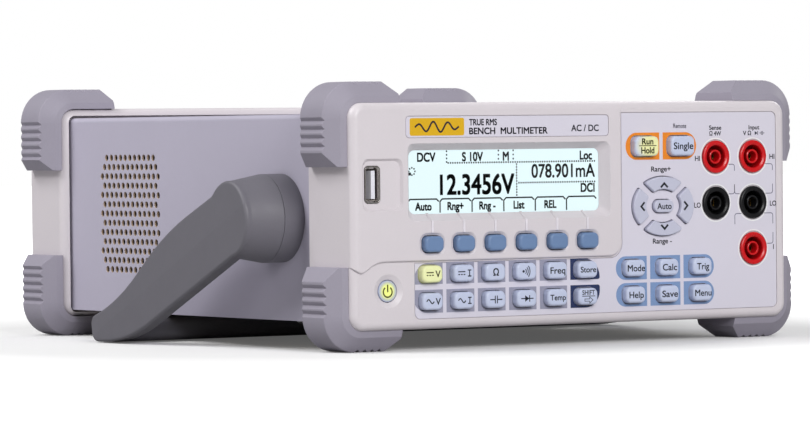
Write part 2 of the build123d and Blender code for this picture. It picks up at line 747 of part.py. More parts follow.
def foot():
    """The left rear foot, with a flared end that also holds a wound cord."""
    neck = slab(rounded(-FOOT_X, FOOT_Z, FOOT_W - 3, FOOT_H - 3, 2.0), FRAME_REAR, FEET_BACK - 3)
    root = slab(rounded(-FOOT_X, FOOT_Z, FOOT_W, FOOT_H, 2.5), FRAME_REAR, FRAME_REAR + 4)
    pad = slab(rounded(-FOOT_X, FOOT_Z, FOOT_W, FOOT_H, 2.5), FEET_BACK - 5, FEET_BACK)
    pad = fillet(pad.faces().sort_by(Axis.Y)[-1].edges(), 1.5)
    bore = slab(disc(-FOOT_X, FOOT_Z, SCREW_R), FRAME_REAR - 1, FRAME_REAR + 12)
    return neck + root + pad - bore


# ---- rear connectors -----------------------------------------------------------

ROCKER_TILT = 10.0                       # each way from level
ROCKER_W = 15.0
ROCKER_H = 9.0
ROCKER_PIN_R = 1.5
ROCKER_PIVOT_Y = PANEL_BACK + 0.8


def mains_inlet():
    """Three-pin inlet, and the frame of the mains switch above it."""
    flange = slab(rounded(INLET_X, INLET_Z, INLET_W, INLET_H, 3.0), PANEL_BACK, PANEL_BACK + 2.2)
    body = slab(Pos(INLET_X, INLET_Z) * Rectangle(27.4, 19.6), PANEL_BACK - 22, PANEL_BACK)
    socket = chamfer(Rectangle(24.4, 16.6).vertices().group_by(Axis.Y)[-1], 3.5)
    inlet = flange + body - slab(Pos(INLET_X, INLET_Z) * socket, PANEL_BACK - 17, PANEL_BACK + 3)
    for x, z in ((-7, -2), (0, 2), (7, -2)):
        blade = Pos(INLET_X + x, INLET_Z + z) * Rectangle(2.0, 4.0)
        inlet += slab(blade, PANEL_BACK - 18, PANEL_BACK - 2)
    for x in (-20, 20):
        inlet -= slab(disc(INLET_X + x, INLET_Z, 1.7), PANEL_BACK - 1, PANEL_BACK + 3)
    bezel = slab(rounded(INLET_X, SWITCH_Z, 30.0, 22.0, 2.0), PANEL_BACK, PANEL_BACK + 2.0)
    box = slab(Pos(INLET_X, SWITCH_Z) * Rectangle(26.6, 19.6), PANEL_BACK - 18, PANEL_BACK)
    well = Pos(INLET_X, SWITCH_Z) * Rectangle(ROCKER_W + 1.0, 2 * ROCKER_H)
    switch = bezel + box - slab(well, PANEL_BACK - 9, PANEL_BACK + 3)
    pin = Pos(INLET_X, ROCKER_PIVOT_Y - 1.5, SWITCH_Z) * Rot(0, 90, 0) * Cylinder(ROCKER_PIN_R, ROCKER_W + 2)
    return [inlet, switch + pin]


def mains_rocker():
    """Rocker of the mains switch, pressed in at the top."""
    reach = ROCKER_H - 0.6
    y = ROCKER_PIVOT_Y - 1.5
    outline = make_face(Polyline(
        (y - 3.0, SWITCH_Z - reach + 1.5),
        (y + 3.5, SWITCH_Z - reach + 0.3),
        (y + 1.6, SWITCH_Z),
        (y + 3.5, SWITCH_Z + reach - 0.3),
        (y - 3.0, SWITCH_Z + reach - 1.5),
        close=True,
    ))
    rocker = side_slab(outline, INLET_X - ROCKER_W / 2, INLET_X + ROCKER_W / 2)
    bore = Pos(INLET_X, y, SWITCH_Z) * Rot(0, 90, 0) * Cylinder(ROCKER_PIN_R + 0.05, ROCKER_W + 2)
    level = rocker - bore
    return Pos(0, y, SWITCH_Z) * Rot(ROCKER_TILT, 0, 0) * Pos(0, -y, -SWITCH_Z) * level


def fuse_cap(x, z):
    """Bayonet fuse holder: body through the panel and a slotted cap."""
    profile = [
        (0, -28), (5.4, -28), (5.4, -3.0), (FUSE_R, -3.0), (FUSE_R, 0), (8.6, 0),
        (8.6, 1.8), (6.8, 2.4), (6.8, 8.2), (6.2, 8.8), (0, 8.8),
    ]
    body = turned(profile, x, PANEL_BACK, z, (0, 1, 0))
    slot = slab(Pos(x, z) * Rectangle(9.0, 1.4), PANEL_BACK + 7.6, PANEL_BACK + 10)
    return body - slot


def bnc_socket(x, z):
    """Coaxial bayonet socket with its two locking lugs."""
    profile = [
        (0, -10), (BNC_R, -10), (BNC_R, 0), (7.2, 0), (7.2, 2.0), (6.0, 2.6), (BNC_R, 3.0),
        (BNC_R, 15.0), (4.1, 15.0), (4.1, 4.0), (1.1, 4.0), (1.1, 12.0), (0, 12.0),
    ]
    socket = turned(profile, x, PANEL_BACK, z, (0, 1, 0))
    lugs = Pos(x, PANEL_BACK + 10.5, z) * Cylinder(1.0, 11.6)
    keep = slab(disc(x, z, 4.2), PANEL_BACK + 9, PANEL_BACK + 12)
    return socket + (lugs - keep)


def data_ports():
    """Network, device, serial and instrument bus sockets."""
    back = PANEL_BACK
    lan = slab(Pos(LAN_X, LOW_PORT_Z) * Rectangle(16.0, 13.6), back - 18, back + 1.0)
    lan -= slab(Pos(LAN_X, LOW_PORT_Z) * Rectangle(12.0, 8.0), back - 12, back + 2)
    lan -= slab(Pos(LAN_X, LOW_PORT_Z - 4.6) * Rectangle(5.0, 3.0), back - 12, back + 2)
    device = slab(Pos(USB_B_X, LOW_PORT_Z) * Rectangle(12.0, 10.8), back - 14, back + 1.0)
    mouth = chamfer(Rectangle(8.4, 7.6).vertices().group_by(Axis.Y)[-1], 1.6)
    device -= slab(Pos(USB_B_X, LOW_PORT_Z) * mouth, back - 9, back + 2)
    device += slab(Pos(USB_B_X, LOW_PORT_Z) * Rectangle(5.0, 2.8), back - 10, back - 0.5)
    serial = shell_socket(SERIAL_X, SERIAL_Z, 30.8, 12.5, 17.0, 9.0)
    bus = shell_socket(BUS_X, BUS_Z, 54.0, 16.0, 36.0, 10.0)
    return [lan, device, serial, bus]


def shell_socket(x, z, flange_w, flange_h, shell_w, shell_h):
    """A D-shaped metal shell on a flange, round an insulator block."""
    back = PANEL_BACK
    socket = slab(rounded(x, z, flange_w, flange_h, 1.5), back, back + 1.0)
    socket += slab(rounded(x, z, shell_w, shell_h, 2.0), back - 11, back + 6.5)
    socket -= slab(rounded(x, z, shell_w - 1.0, shell_h - 1.0, 1.5), back, back + 7)
    socket += slab(rounded(x, z, shell_w - 3.0, shell_h - 3.4, 1.0), back - 1, back + 5.5)
    for side in (-1, 1):
        jack_screw = disc(x + side * (flange_w + shell_w) / 4, z, 2.4)
        socket += slab(jack_screw, back, back + 5.0)
    return socket


# ---- inside the case -------------------------------------------------------------

MAIN_BOARD = (5.0, -10.0, 190.0, 185.0)  # centre X and Y, width and depth
MAIN_THICK = 1.6


def block(x, y, bottom, width, depth, height, rounding=0.0):
    piece = Pos(x, y, bottom) * Box(width, depth, height, align=(Align.CENTER, Align.CENTER, Align.MIN))
    return fillet(piece.edges().filter_by(Axis.Z), rounding) if rounding else piece


def main_board():
    x, y, width, depth = MAIN_BOARD
    return block(x, y, STANDOFF_TOP, width, depth, MAIN_THICK, 2.0)


def board_components():
    """Relays, shield can, reservoir capacitors and heatsink on the main board."""
    top = STANDOFF_TOP + MAIN_THICK
    parts = [block(62, -72 + 17 * i, top, 28, 13, 16, 0.6) for i in range(3)]
    parts.append(block(60, 10, top, 62, 70, 14, 1.5))
    parts.append(block(-20, -50, top, 26, 26, 3.0, 0.8))
    parts.append(block(20, -60, top, 18, 18, 2.4, 0.8))
    for y in (-60, -36):
        can = Pos(-60, y, top) * Cylinder(9, 26, align=(Align.CENTER, Align.CENTER, Align.MIN))
        parts.append(fillet(can.edges().group_by(Axis.Z)[-1], 1.0))
    fins = block(0, 20, top, 26, 40, 4)
    for i in range(6):
        fins += block(-11.5 + 4.6 * i, 20, top + 3, 1.6, 40, 22)
    parts.append(fins)
    return parts


def power_transformer():
    """Laminated core standing on the main board, with its wound bobbin."""
    bottom = STANDOFF_TOP + MAIN_THICK
    x = -62.0
    y = 38.0
    core = block(x, y, bottom, 57, 26, 48, 0.5)
    for side in (-1, 1):
        core -= Pos(x + side * 14.5, y, bottom + 24) * Box(9.5, 40, 28.6)
    coil = block(x, y, bottom + 10.5, 37, 44, 27, 5.0)
    coil -= block(x, y, bottom + 10, 19.6, 26.4, 28)
    coil &= Pos(x, y, bottom + 24) * Box(38, 50, 28)
    return [core, coil]


# ---- screws --------------------------------------------------------------------


def pan_screw(length):
    """Pan head cross-recess screw along +Z, with its head below the origin."""
    profile = [(0, length), (SCREW_R, length), (SCREW_R, 0), (3.0, 0), (3.0, -1.1), (2.2, -1.9), (0, -2.0)]
    screw = revolve(Plane.XZ * make_face(Polyline(*profile, close=True)), axis=Axis.Z)
    for turn in (0, 90):
        screw -= Rot(0, 0, turn) * Pos(0, 0, -2.0) * Box(2.8, 0.6, 1.6)
    return screw


def screws():
    """Four under the tray, and four through the rear panel; the lower two also hold the feet."""
    under = [Pos(x, y, CASE_BOTTOM) * pan_screw(5.0) for x, y in SCREW_FEET]
    inside = []
    for places, reach in ((LOWER_SCREWS, 11.0), (UPPER_SCREWS, 0.0)):
        for x, z in places:
            place = Plane(origin=(x, PANEL_BACK - PANEL_THICK, z), z_dir=(0, 1, 0))
            inside.append(place * pan_screw(PANEL_THICK + RING + reach))
    return under + inside


# ---- bail handle ------------------------------------------------------------------

PIVOT_Y = -82.5
PIVOT_Z = 52.7
BOSS_R = 17.9
BOSS_LENGTH = 9.2
BOSS_STUD_R = 4.0
SPIGOT_R = 7.0
SPIGOT_LENGTH = 8.0
SPIGOT_GAP = 0.06
HUB_GAP = 0.2
HUB_FACE_R = 15.4
ARM_THICK = 6.0
ARM_ROUND = 1.2
ARM_CROWN = 2.4                          # degrees that each half of its face leans in
ARM_DROOP = 24.4                         # degrees below level, towards the rear
GRIP_LOW = -52.3                         # underside of the grip, from the pivot
HUB_BLEND = 9.0
HUB_TUCK = 0.1                           # how far inside the arm's rim the hub's cone ends


def boss(side):
    """Fixed half of a handle hub, on one side of the case."""
    profile = [
        (0, -3.0), (BOSS_STUD_R, -3.0), (BOSS_STUD_R, 0), (BOSS_R, 0), (BOSS_R, BOSS_LENGTH),
        (SPIGOT_R, BOSS_LENGTH), (SPIGOT_R, BOSS_LENGTH + SPIGOT_LENGTH), (0, BOSS_LENGTH + SPIGOT_LENGTH),
    ]
    return turned(profile, side * CASE_W / 2, PIVOT_Y, PIVOT_Z, (side, 0, 0))


def arm_outline():
    """Side view of an arm with its hub: rounded corners, measured from the pivot."""
    corners = [
        ((3, 13.1), 0),                  # inside the hub
        ((51.1, -6.2), 150),
        ((88.9, -34.3), 115),
        ((113, -42.3), 3.8),             # tip
        ((110.5, GRIP_LOW), 4.5),
        ((83.7, GRIP_LOW), 100),
        ((-5.9, -13.8), 0),              # inside the hub
    ]
    blade = make_face(Polyline(*[place for place, _ in corners], close=True))
    for place, radius in corners:
        if radius:
            blade = fillet(blade.vertices().sort_by_distance(place)[0], radius)
    outline = blade + Circle(HUB_FACE_R)
    for joint in outline.vertices():
        if abs(math.hypot(joint.X, joint.Y) - HUB_FACE_R) < 0.01:
            outline = fillet(outline.vertices().sort_by_distance(joint)[0], HUB_BLEND)
    return Pos(PIVOT_Y, PIVOT_Z) * outline


def arm_plate():
    """One arm: a flat plate whose outer face falls away from a ridge along its middle."""
    outside = HANDLE_WIDTH / 2
    plate = side_slab(arm_outline(), outside - ARM_THICK, outside)
    ridge = Pos(outside, PIVOT_Y, PIVOT_Z) * Rot(-ARM_DROOP, 0, 0)
    for half in (-1, 1):
        plate -= ridge * Rot(0, -half * ARM_CROWN, 0) * Pos(10, 0, half * 40) * Box(20, 300, 80)
    rim = [edge for edge in plate.edges() if on_rim(edge, outside)]
    return fillet(rim, ARM_ROUND)


def on_rim(edge, outside):
    """True for the outer edges of the crowned face, but not for the ridge itself."""
    near_face = edge.center().X > outside - ARM_THICK / 2
    across = [abs(end.X - outside) < 0.01 for end in edge.vertices()]
    return near_face and not all(across)


def handle():
    """One-piece bail: two hubs and arms, joined by a grip under the case."""
    outside = HANDLE_WIDTH / 2
    hub_start = CASE_W / 2 + BOSS_LENGTH + HUB_GAP
    length = outside - 2 * ARM_ROUND - hub_start
    cone = turned([(0, 0), (BOSS_R, 0), (HUB_FACE_R - HUB_TUCK, length), (0, length)],
                  hub_start, PIVOT_Y, PIVOT_Z, (1, 0, 0))
    bore_r = SPIGOT_R + SPIGOT_GAP
    bore_end = SPIGOT_LENGTH + 0.3
    bore = turned([(0, -1), (bore_r, -1), (bore_r, bore_end), (0, bore_end)],
                  hub_start, PIVOT_Y, PIVOT_Z, (1, 0, 0))
    side = arm_plate() + cone - bore
    return side + mirror(side, Plane.YZ) + grip()


def grip():
    """Flat rounded bar between the arms."""
    outline = Pos(PIVOT_Y + 101.4, PIVOT_Z + GRIP_LOW + 5.2) * RectangleRounded(18.2, 10.2, 4.0)
    return side_slab(outline, -HANDLE_WIDTH / 2 + ARM_THICK / 2, HANDLE_WIDTH / 2 - ARM_THICK / 2)


# ---- build ---------------------------------------------------------------------------


def main():
    os.makedirs("parts", exist_ok=True)
    write("front_bezel", front_bezel())
    write("panel_films", panel_films())
    write("display_window", display_window())
    write("display_module", display_module())
    write("front_board", front_board())
    write("key_mat", key_mat())
    write("usb_port", usb_port())
    write("red_jacks", [jack_body(x, z) for x, z in RED_JACKS])
    write("black_jacks", [jack_body(x, z) for x, z in BLACK_JACKS])
    write("jack_contacts", [jack_contact(x, z) for x, z in RED_JACKS + BLACK_JACKS])
    for name, x, z, width, height in key_places():
        write(name, square_key(x, z, width, height))
    for name, angle in PAD_KEYS.items():
        write(name, arrow_key(angle))
    write("key_auto", auto_key())
    write("power_button", power_button())
    write("front_bumpers", four_corners(bumper(FRONT_LEG, FRONT_FLAT, FRONT_RIBS)))
    write("rear_bumpers", rear_bumpers())
    write("case_cover", case_cover())
    write("chassis_tray", chassis_tray())
    write("main_board", main_board())
    write("board_components", board_components())
    write("power_transformer", power_transformer())
    write("rear_frame", rear_frame())
    write("rear_panel", rear_panel())
    write("rear_feet", [foot(), mirror(foot(), Plane.YZ)])
    write("mains_inlet", mains_inlet())
    write("mains_rocker", mains_rocker())
    write("fuse_holders", [fuse_cap(x, z) for x, z in FUSE_PLACES])
    write("bnc_sockets", [bnc_socket(x, z) for x, z in BNC_PLACES])
    write("data_ports", data_ports())
    write("handle_bosses", [boss(-1), boss(1)])
    write("handle", handle())
    write("screws", screws())


main()
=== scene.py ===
"""Looks of the bench multimeter: finishes, printed panel art, the lit display, light and camera.

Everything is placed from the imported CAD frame. Lengths in the art sections are millimetres, with X to the
right and Z up, as the panel is read from the front.
"""

import math

import bmesh
import bpy
from mathutils import Matrix, Vector
from mathutils.bvhtree import BVHTree


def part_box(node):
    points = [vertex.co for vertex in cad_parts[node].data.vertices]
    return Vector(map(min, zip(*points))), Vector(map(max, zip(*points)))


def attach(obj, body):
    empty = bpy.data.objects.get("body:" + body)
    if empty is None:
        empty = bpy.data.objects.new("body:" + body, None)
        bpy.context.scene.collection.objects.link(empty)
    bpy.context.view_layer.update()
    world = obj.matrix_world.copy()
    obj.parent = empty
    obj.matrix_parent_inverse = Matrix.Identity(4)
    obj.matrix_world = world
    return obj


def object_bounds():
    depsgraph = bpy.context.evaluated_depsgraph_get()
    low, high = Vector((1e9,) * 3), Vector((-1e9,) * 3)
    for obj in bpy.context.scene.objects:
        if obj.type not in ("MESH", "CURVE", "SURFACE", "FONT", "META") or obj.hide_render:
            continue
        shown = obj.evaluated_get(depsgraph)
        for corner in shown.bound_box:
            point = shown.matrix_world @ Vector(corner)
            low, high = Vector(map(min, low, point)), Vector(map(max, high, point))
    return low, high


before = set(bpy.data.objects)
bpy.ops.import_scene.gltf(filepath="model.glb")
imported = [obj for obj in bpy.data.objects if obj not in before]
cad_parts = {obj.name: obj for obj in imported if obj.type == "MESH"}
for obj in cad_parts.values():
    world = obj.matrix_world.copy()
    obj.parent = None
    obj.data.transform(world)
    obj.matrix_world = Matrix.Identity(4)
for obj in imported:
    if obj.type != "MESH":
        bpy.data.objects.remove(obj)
cad_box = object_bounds()

MM = 0.001
INK = 0.03                    # thickness of printed ink
ROOT = "body"                 # the CAD body that carries the case and panel

# ---- colours (sRGB, 0 to 255) ---------------------------------------------------

OFF_WHITE = (222, 215, 220)
FILM = (222, 218, 231)
BUMPER = (160, 155, 169)
HANDLE = (112, 110, 118)
CASE = (192, 187, 205)
RIDGE_HIGHLIGHT = (238, 232, 240)       # painted highlight on the fronts of the moulded leader lines
CHROMATE = (208, 184, 160)    # inside of the case
USB_TONGUE = (238, 238, 250)
SOLDER_MASK = (20, 92, 52)
KEY = (203, 211, 236)
PAD = (200, 201, 220)
SOFT_KEY = (112, 139, 180)
FUNCTION_CELL = (152, 152, 172)
NAVY = (32, 46, 88)
MENU_CELL = (128, 154, 196)
ORANGE = (238, 138, 32)
AMBER = (226, 178, 22)
INK_DARK = (34, 38, 58)
INK_GREY = (92, 92, 116)
LIT_YELLOW = (240, 244, 184)
LIT_CREAM = (243, 242, 180)
OLIVE = (66, 66, 12)
INK_BLACK = (22, 24, 34)
INK_PALE = (186, 184, 204)
INK_STRIP = (58, 58, 80)
INK_BADGE = (36, 30, 44)
INK_WHITE = (246, 245, 250)
GLOW = (240, 246, 140)
POWER_RIM = (180, 188, 214)
LCD_LIGHT = (234, 252, 254)
LCD_DARK = (12, 20, 24)
JACK_RED = (212, 10, 20)
JACK_BLACK = (17, 17, 20)


def linear(colour):
    """sRGB 0 to 255 as linear RGBA."""
    channels = []
    for value in colour:
        share = value / 255
        channels.append(share / 12.92 if share <= 0.04045 else ((share + 0.055) / 1.055) ** 2.4)
    return (*channels, 1.0)


def scaled(colour, factor):
    """The same hue, lighter or darker, clipped at white."""
    return tuple(min(255.0, value * factor) for value in colour)


# ---- material building blocks ----------------------------------------------------


def start_material(name):
    """A new node material: its tree and its Principled surface."""
    material = bpy.data.materials.new(name)
    material.use_nodes = True
    tree = material.node_tree
    tree.nodes.clear()
    output = tree.nodes.new("ShaderNodeOutputMaterial")
    surface = tree.nodes.new("ShaderNodeBsdfPrincipled")
    tree.links.new(surface.outputs["BSDF"], output.inputs["Surface"])
    return material, tree, surface


def place(tree):
    """Position in the object's own frame, in metres."""
    return tree.nodes.new("ShaderNodeTexCoord").outputs["Object"]


def noise(tree, size, detail=2.0, stretch=(1, 1, 1)):
    """Noise whose features are about size millimetres across."""
    mapping = tree.nodes.new("ShaderNodeMapping")
    mapping.inputs["Scale"].default_value = stretch
    tree.links.new(place(tree), mapping.inputs["Vector"])
    texture = tree.nodes.new("ShaderNodeTexNoise")
    texture.inputs["Scale"].default_value = 1 / (size * MM)
    texture.inputs["Detail"].default_value = detail
    tree.links.new(mapping.outputs["Vector"], texture.inputs["Vector"])
    return texture.outputs["Fac"]


def remap(tree, value, low, high, to_low, to_high):
    """Carry low..high over to to_low..to_high, and clip beyond them."""
    node = tree.nodes.new("ShaderNodeMapRange")
    node.inputs["From Min"].default_value = low
    node.inputs["From Max"].default_value = high
    node.inputs["To Min"].default_value = to_low
    node.inputs["To Max"].default_value = to_high
    tree.links.new(value, node.inputs["Value"])
    return node.outputs["Result"]


def mix(tree, factor, first, second):
    """Colour mix; each input is a colour or a socket."""
    node = tree.nodes.new("ShaderNodeMix")
    node.data_type = "RGBA"
    for socket, value in (("Factor", factor), ("A", first), ("B", second)):
        inputs = [s for s in node.inputs if s.name == socket and s.enabled]
        target = inputs[-1]
        if isinstance(value, bpy.types.NodeSocket):
            tree.links.new(value, target)
        else:
            target.default_value = value
    return [s for s in node.outputs if s.enabled][0]


def edge_mask(tree, radius):
    """0 on open faces and 1 along edges, out to about radius millimetres."""
    bevel = tree.nodes.new("ShaderNodeBevel")
    bevel.samples = 4
    bevel.inputs["Radius"].default_value = radius * MM
    plain = tree.nodes.new("ShaderNodeNewGeometry")
    dot = tree.nodes.new("ShaderNodeVectorMath")
    dot.operation = "DOT_PRODUCT"
    tree.links.new(bevel.outputs["Normal"], dot.inputs[0])
    tree.links.new(plain.outputs["Normal"], dot.inputs[1])
    return remap(tree, dot.outputs["Value"], 0.995, 0.8, 0.0, 1.0)


def crevice_mask(tree, reach):
    """1 on open faces, towards 0 in corners and gaps, within reach millimetres."""
    shade = tree.nodes.new("ShaderNodeAmbientOcclusion")
    shade.samples = 4
    shade.inputs["Distance"].default_value = reach * MM
    return shade.outputs["AO"]


def relief(tree, surface, height, depth, bevel=0.0):
    """Bump of a real depth in millimetres, over edges softened by a bevel radius."""
    bump = tree.nodes.new("ShaderNodeBump")
    bump.inputs["Distance"].default_value = depth * MM
    bump.inputs["Strength"].default_value = 1.0
    tree.links.new(height, bump.inputs["Height"])
    if bevel:
        soft = tree.nodes.new("ShaderNodeBevel")
        soft.samples = 4
        soft.inputs["Radius"].default_value = bevel * MM
        tree.links.new(soft.outputs["Normal"], bump.inputs["Normal"])
    tree.links.new(bump.outputs["Normal"], surface.inputs["Normal"])


def product(tree, first, second):
    """Two socket values multiplied."""
    node = tree.nodes.new("ShaderNodeMath")
    node.operation = "MULTIPLY"
    tree.links.new(first, node.inputs[0])
    tree.links.new(second, node.inputs[1])
    return node.outputs["Value"]


def tint(colour, factor):
    """A colour made lighter or darker, ready for a socket."""
    return linear(scaled(colour, factor))


def moulded(name, colour, rough=0.5, grain=0.5, depth=0.01, mottle=0.03, wear=0.12, dirt=0.25, soft=0.25,
            shine=0.5):
    """Plastic, rubber or paint: fine grain, faint mottling, paler worn edges, and painted shade that darkens
    corners and gaps.
    """
    material, tree, surface = start_material(name)
    base = mix(tree, noise(tree, 28, 3), tint(colour, 1 - mottle), tint(colour, 1 + mottle))
    fine = remap(tree, noise(tree, grain * 1.7, 1), 0.35, 0.65, 0.0, 0.35)
    base = mix(tree, fine, base, tint(colour, 1 - mottle))
    patchy = remap(tree, noise(tree, 6, 3), 0.35, 0.7, 0.2, 1.0)
    rubbed = product(tree, edge_mask(tree, 0.6), patchy)
    base = mix(tree, rubbed, base, tint(colour, 1 + wear))
    # Painted shade: ambient occlusion darkens the colour in corners and gaps, by up to the given share.
    painted_crevice_shade = remap(tree, crevice_mask(tree, 3.0), 0.2, 0.9, dirt, 0.0)
    base = mix(tree, painted_crevice_shade, base, tint(colour, 0.45))
    tree.links.new(base, surface.inputs["Base Color"])
    sheen = remap(tree, noise(tree, 9, 4), 0.3, 0.7, rough - 0.06, rough + 0.06)
    tree.links.new(sheen, surface.inputs["Roughness"])
    surface.inputs["Specular IOR Level"].default_value = shine
    relief(tree, surface, noise(tree, grain, 2), depth, soft)
    return material


def metal(name, colour, rough=0.3, brush=(1, 1, 1), grain=0.6, depth=0.004):
    """Plated or bare metal with brushing, stains, and painted shade that darkens corners."""
    material, tree, surface = start_material(name)
    streak = noise(tree, grain, 3, brush)
    base = mix(tree, streak, tint(colour, 0.86), tint(colour, 1.08))
    stained = remap(tree, noise(tree, 14, 4), 0.5, 0.75, 0.0, 0.35)
    base = mix(tree, stained, base, tint(colour, 0.7))
    # Painted shade: ambient occlusion darkens the colour in corners.
    dirty = remap(tree, crevice_mask(tree, 2.0), 0.2, 0.9, 0.5, 0.0)
    base = mix(tree, dirty, base, tint(colour, 0.25))
    tree.links.new(base, surface.inputs["Base Color"])
    surface.inputs["Metallic"].default_value = 1.0
    tree.links.new(remap(tree, streak, 0.3, 0.7, rough - 0.08, rough + 0.1), surface.inputs["Roughness"])
    relief(tree, surface, streak, depth, 0.15)
    return material


def ink(name, colour, rough=0.45):
    """Screen-printed ink: slight speckle and an uneven sheen."""
    material, tree, surface = start_material(name)
    speckle = noise(tree, 0.35, 2)
    base = mix(tree, speckle, tint(colour, 0.95), tint(colour, 1.05))
    tree.links.new(base, surface.inputs["Base Color"])
    sheen = remap(tree, noise(tree, 5, 2), 0.3, 0.7, rough - 0.05, rough + 0.08)
    tree.links.new(sheen, surface.inputs["Roughness"])
    relief(tree, surface, speckle, 0.004)
    return material


def lit_plastic(name, colour, edge_colour, centre, reach, glow):
    """Translucent plastic with a lamp behind its middle: centre and reach are X, Z in millimetres."""
    material, tree, surface = start_material(name)
    offset = tree.nodes.new("ShaderNodeMapping")
    offset.vector_type = "TEXTURE"
    offset.inputs["Location"].default_value = (centre[0] * MM, 0, centre[1] * MM)
    offset.inputs["Scale"].default_value = (reach[0] * MM, 1000, reach[1] * MM)
    tree.links.new(place(tree), offset.inputs["Vector"])
    length = tree.nodes.new("ShaderNodeVectorMath")
    length.operation = "LENGTH"
    tree.links.new(offset.outputs["Vector"], length.inputs[0])
    spread = remap(tree, length.outputs["Value"], 0.55, 1.0, 0.0, 1.0)
    grain = mix(tree, noise(tree, 0.8, 2), tint(colour, 0.97), tint(colour, 1.02))
    base = mix(tree, spread, grain, linear(edge_colour))
    tree.links.new(base, surface.inputs["Base Color"])
    tree.links.new(base, surface.inputs["Emission Color"])
    tree.links.new(remap(tree, spread, 0.0, 1.0, glow, 0.0), surface.inputs["Emission Strength"])
    surface.inputs["Roughness"].default_value = 0.38
    relief(tree, surface, noise(tree, 0.4, 2), 0.006, 0.25)
    return material


def display_light(name, colour, strength):
    """Backlit liquid crystal: a faint dot grid and a slightly uneven backlight."""
    material, tree, surface = start_material(name)
    uneven = remap(tree, noise(tree, 45, 1), 0.3, 0.7, 0.97, 1.0)
    checks = tree.nodes.new("ShaderNodeTexChecker")
    checks.inputs["Scale"].default_value = 1 / (0.36 * MM)
    checks.inputs["Color1"].default_value = linear(colour)
    checks.inputs["Color2"].default_value = tint(colour, 0.985)
    tree.links.new(place(tree), checks.inputs["Vector"])
    tree.links.new(checks.outputs["Color"], surface.inputs["Emission Color"])
    level = remap(tree, uneven, 0.0, 1.0, 0.0, strength)
    tree.links.new(level, surface.inputs["Emission Strength"])
    surface.inputs["Base Color"].default_value = tint(colour, 0.2)
    surface.inputs["Roughness"].default_value = 0.3
    return material


def clear_plate(name):
    """Thin clear window: mostly see-through, with a soft reflection and a few faint smears."""
    material, tree, surface = start_material(name)
    tree.nodes.remove(surface)
    output = [n for n in tree.nodes if n.type == "OUTPUT_MATERIAL"][0]
    through = tree.nodes.new("ShaderNodeBsdfTransparent")
    through.inputs["Color"].default_value = (0.985, 0.995, 1.0, 1.0)
    gloss = tree.nodes.new("ShaderNodeBsdfGlossy")
    tree.links.new(remap(tree, noise(tree, 12, 3), 0.4, 0.7, 0.03, 0.1), gloss.inputs["Roughness"])
    facing = tree.nodes.new("ShaderNodeFresnel")
    facing.inputs["IOR"].default_value = 1.35
    blend = tree.nodes.new("ShaderNodeMixShader")
    from_behind = tree.nodes.new("ShaderNodeNewGeometry").outputs["Backfacing"]
    front_only = remap(tree, from_behind, 0.0, 1.0, 1.0, 0.0)
    tree.links.new(product(tree, facing.outputs["Fac"], front_only), blend.inputs["Fac"])
    tree.links.new(through.outputs["BSDF"], blend.inputs[1])
    tree.links.new(gloss.outputs["BSDF"], blend.inputs[2])
    tree.links.new(blend.outputs["Shader"], output.inputs["Surface"])
    return material


def inside_box(tree, low, high, soft=0.05):
    """1 where the object's own position is between two corners in millimetres, and 0 outside."""
    split = tree.nodes.new("ShaderNodeSeparateXYZ")
    tree.links.new(place(tree), split.inputs["Vector"])
    total = None
    for axis, start, end in zip("XYZ", low, high):
        middle, half = (start + end) / 2, (end - start) / 2
        off = tree.nodes.new("ShaderNodeMath")
        off.operation = "SUBTRACT"
        off.inputs[1].default_value = middle * MM
        tree.links.new(split.outputs[axis], off.inputs[0])
        size = tree.nodes.new("ShaderNodeMath")
        size.operation = "ABSOLUTE"
        tree.links.new(off.outputs["Value"], size.inputs[0])
        within = remap(tree, size.outputs["Value"], half * MM, (half + soft) * MM, 1.0, 0.0)
        total = product(tree, total, within) if total else within
    return total


def repaint(material, low, high, colour):
    """Give the part of a material between two corners another colour, and no metal there."""
    tree = material.node_tree
    surface = [n for n in tree.nodes if n.type == "BSDF_PRINCIPLED"][0]
    mask = inside_box(tree, low, high)
    under = surface.inputs["Base Color"].links[0].from_socket
    grain = mix(tree, noise(tree, 1.2, 3), tint(colour, 0.92), tint(colour, 1.05))
    tree.links.new(mix(tree, mask, under, grain), surface.inputs["Base Color"])
    bare = surface.inputs["Metallic"].default_value
    tree.links.new(remap(tree, mask, 0.0, 1.0, bare, 0.0), surface.inputs["Metallic"])
    return material


def circuit_board(name):
    """Green solder mask over faint copper tracks and pads."""
    material, tree, surface = start_material(name)
    green = SOLDER_MASK
    tracks = tree.nodes.new("ShaderNodeTexBrick")
    tracks.inputs["Scale"].default_value = 1 / (9 * MM)
    tracks.inputs["Mortar Size"].default_value = 0.03
    tracks.inputs["Color1"].default_value = linear(green)
    tracks.inputs["Color2"].default_value = tint(green, 0.85)
    tracks.inputs["Mortar"].default_value = tint(green, 1.5)
    tree.links.new(place(tree), tracks.inputs["Vector"])
    pads = remap(tree, noise(tree, 2, 2), 0.45, 0.6, 0.0, 0.4)
    base = mix(tree, pads, tracks.outputs["Color"], tint(green, 0.7))
    tree.links.new(base, surface.inputs["Base Color"])
    surface.inputs["Roughness"].default_value = 0.35
    relief(tree, surface, noise(tree, 0.6, 2), 0.01)
    return material


# ---- finishes of the CAD nodes -----------------------------------------------------


def centre_of(node):
    """Middle of a node's box, in millimetres."""
    low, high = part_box(node)
    return (low + high) / 2 / MM


def size_of(node):
    low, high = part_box(node)
    return (high - low) / MM


def satin(name, colour, **changes):
    """Smooth moulded key plastic; changes are settings that differ from the usual ones."""
    # The usual corner darkening set here is painted shade.
    usual = {"rough": 0.38, "grain": 0.35, "depth": 0.005, "mottle": 0.01, "wear": 0.05, "dirt": 0.08,
             "soft": 0.2}
    return moulded(name, colour, **{**usual, **changes})


def powder_coat(name, colour, **changes):
    """Fine-grained paint on sheet steel."""
    return moulded(name, colour, rough=0.46, grain=0.7, depth=0.016, mottle=0.012, wear=0.08, **changes)


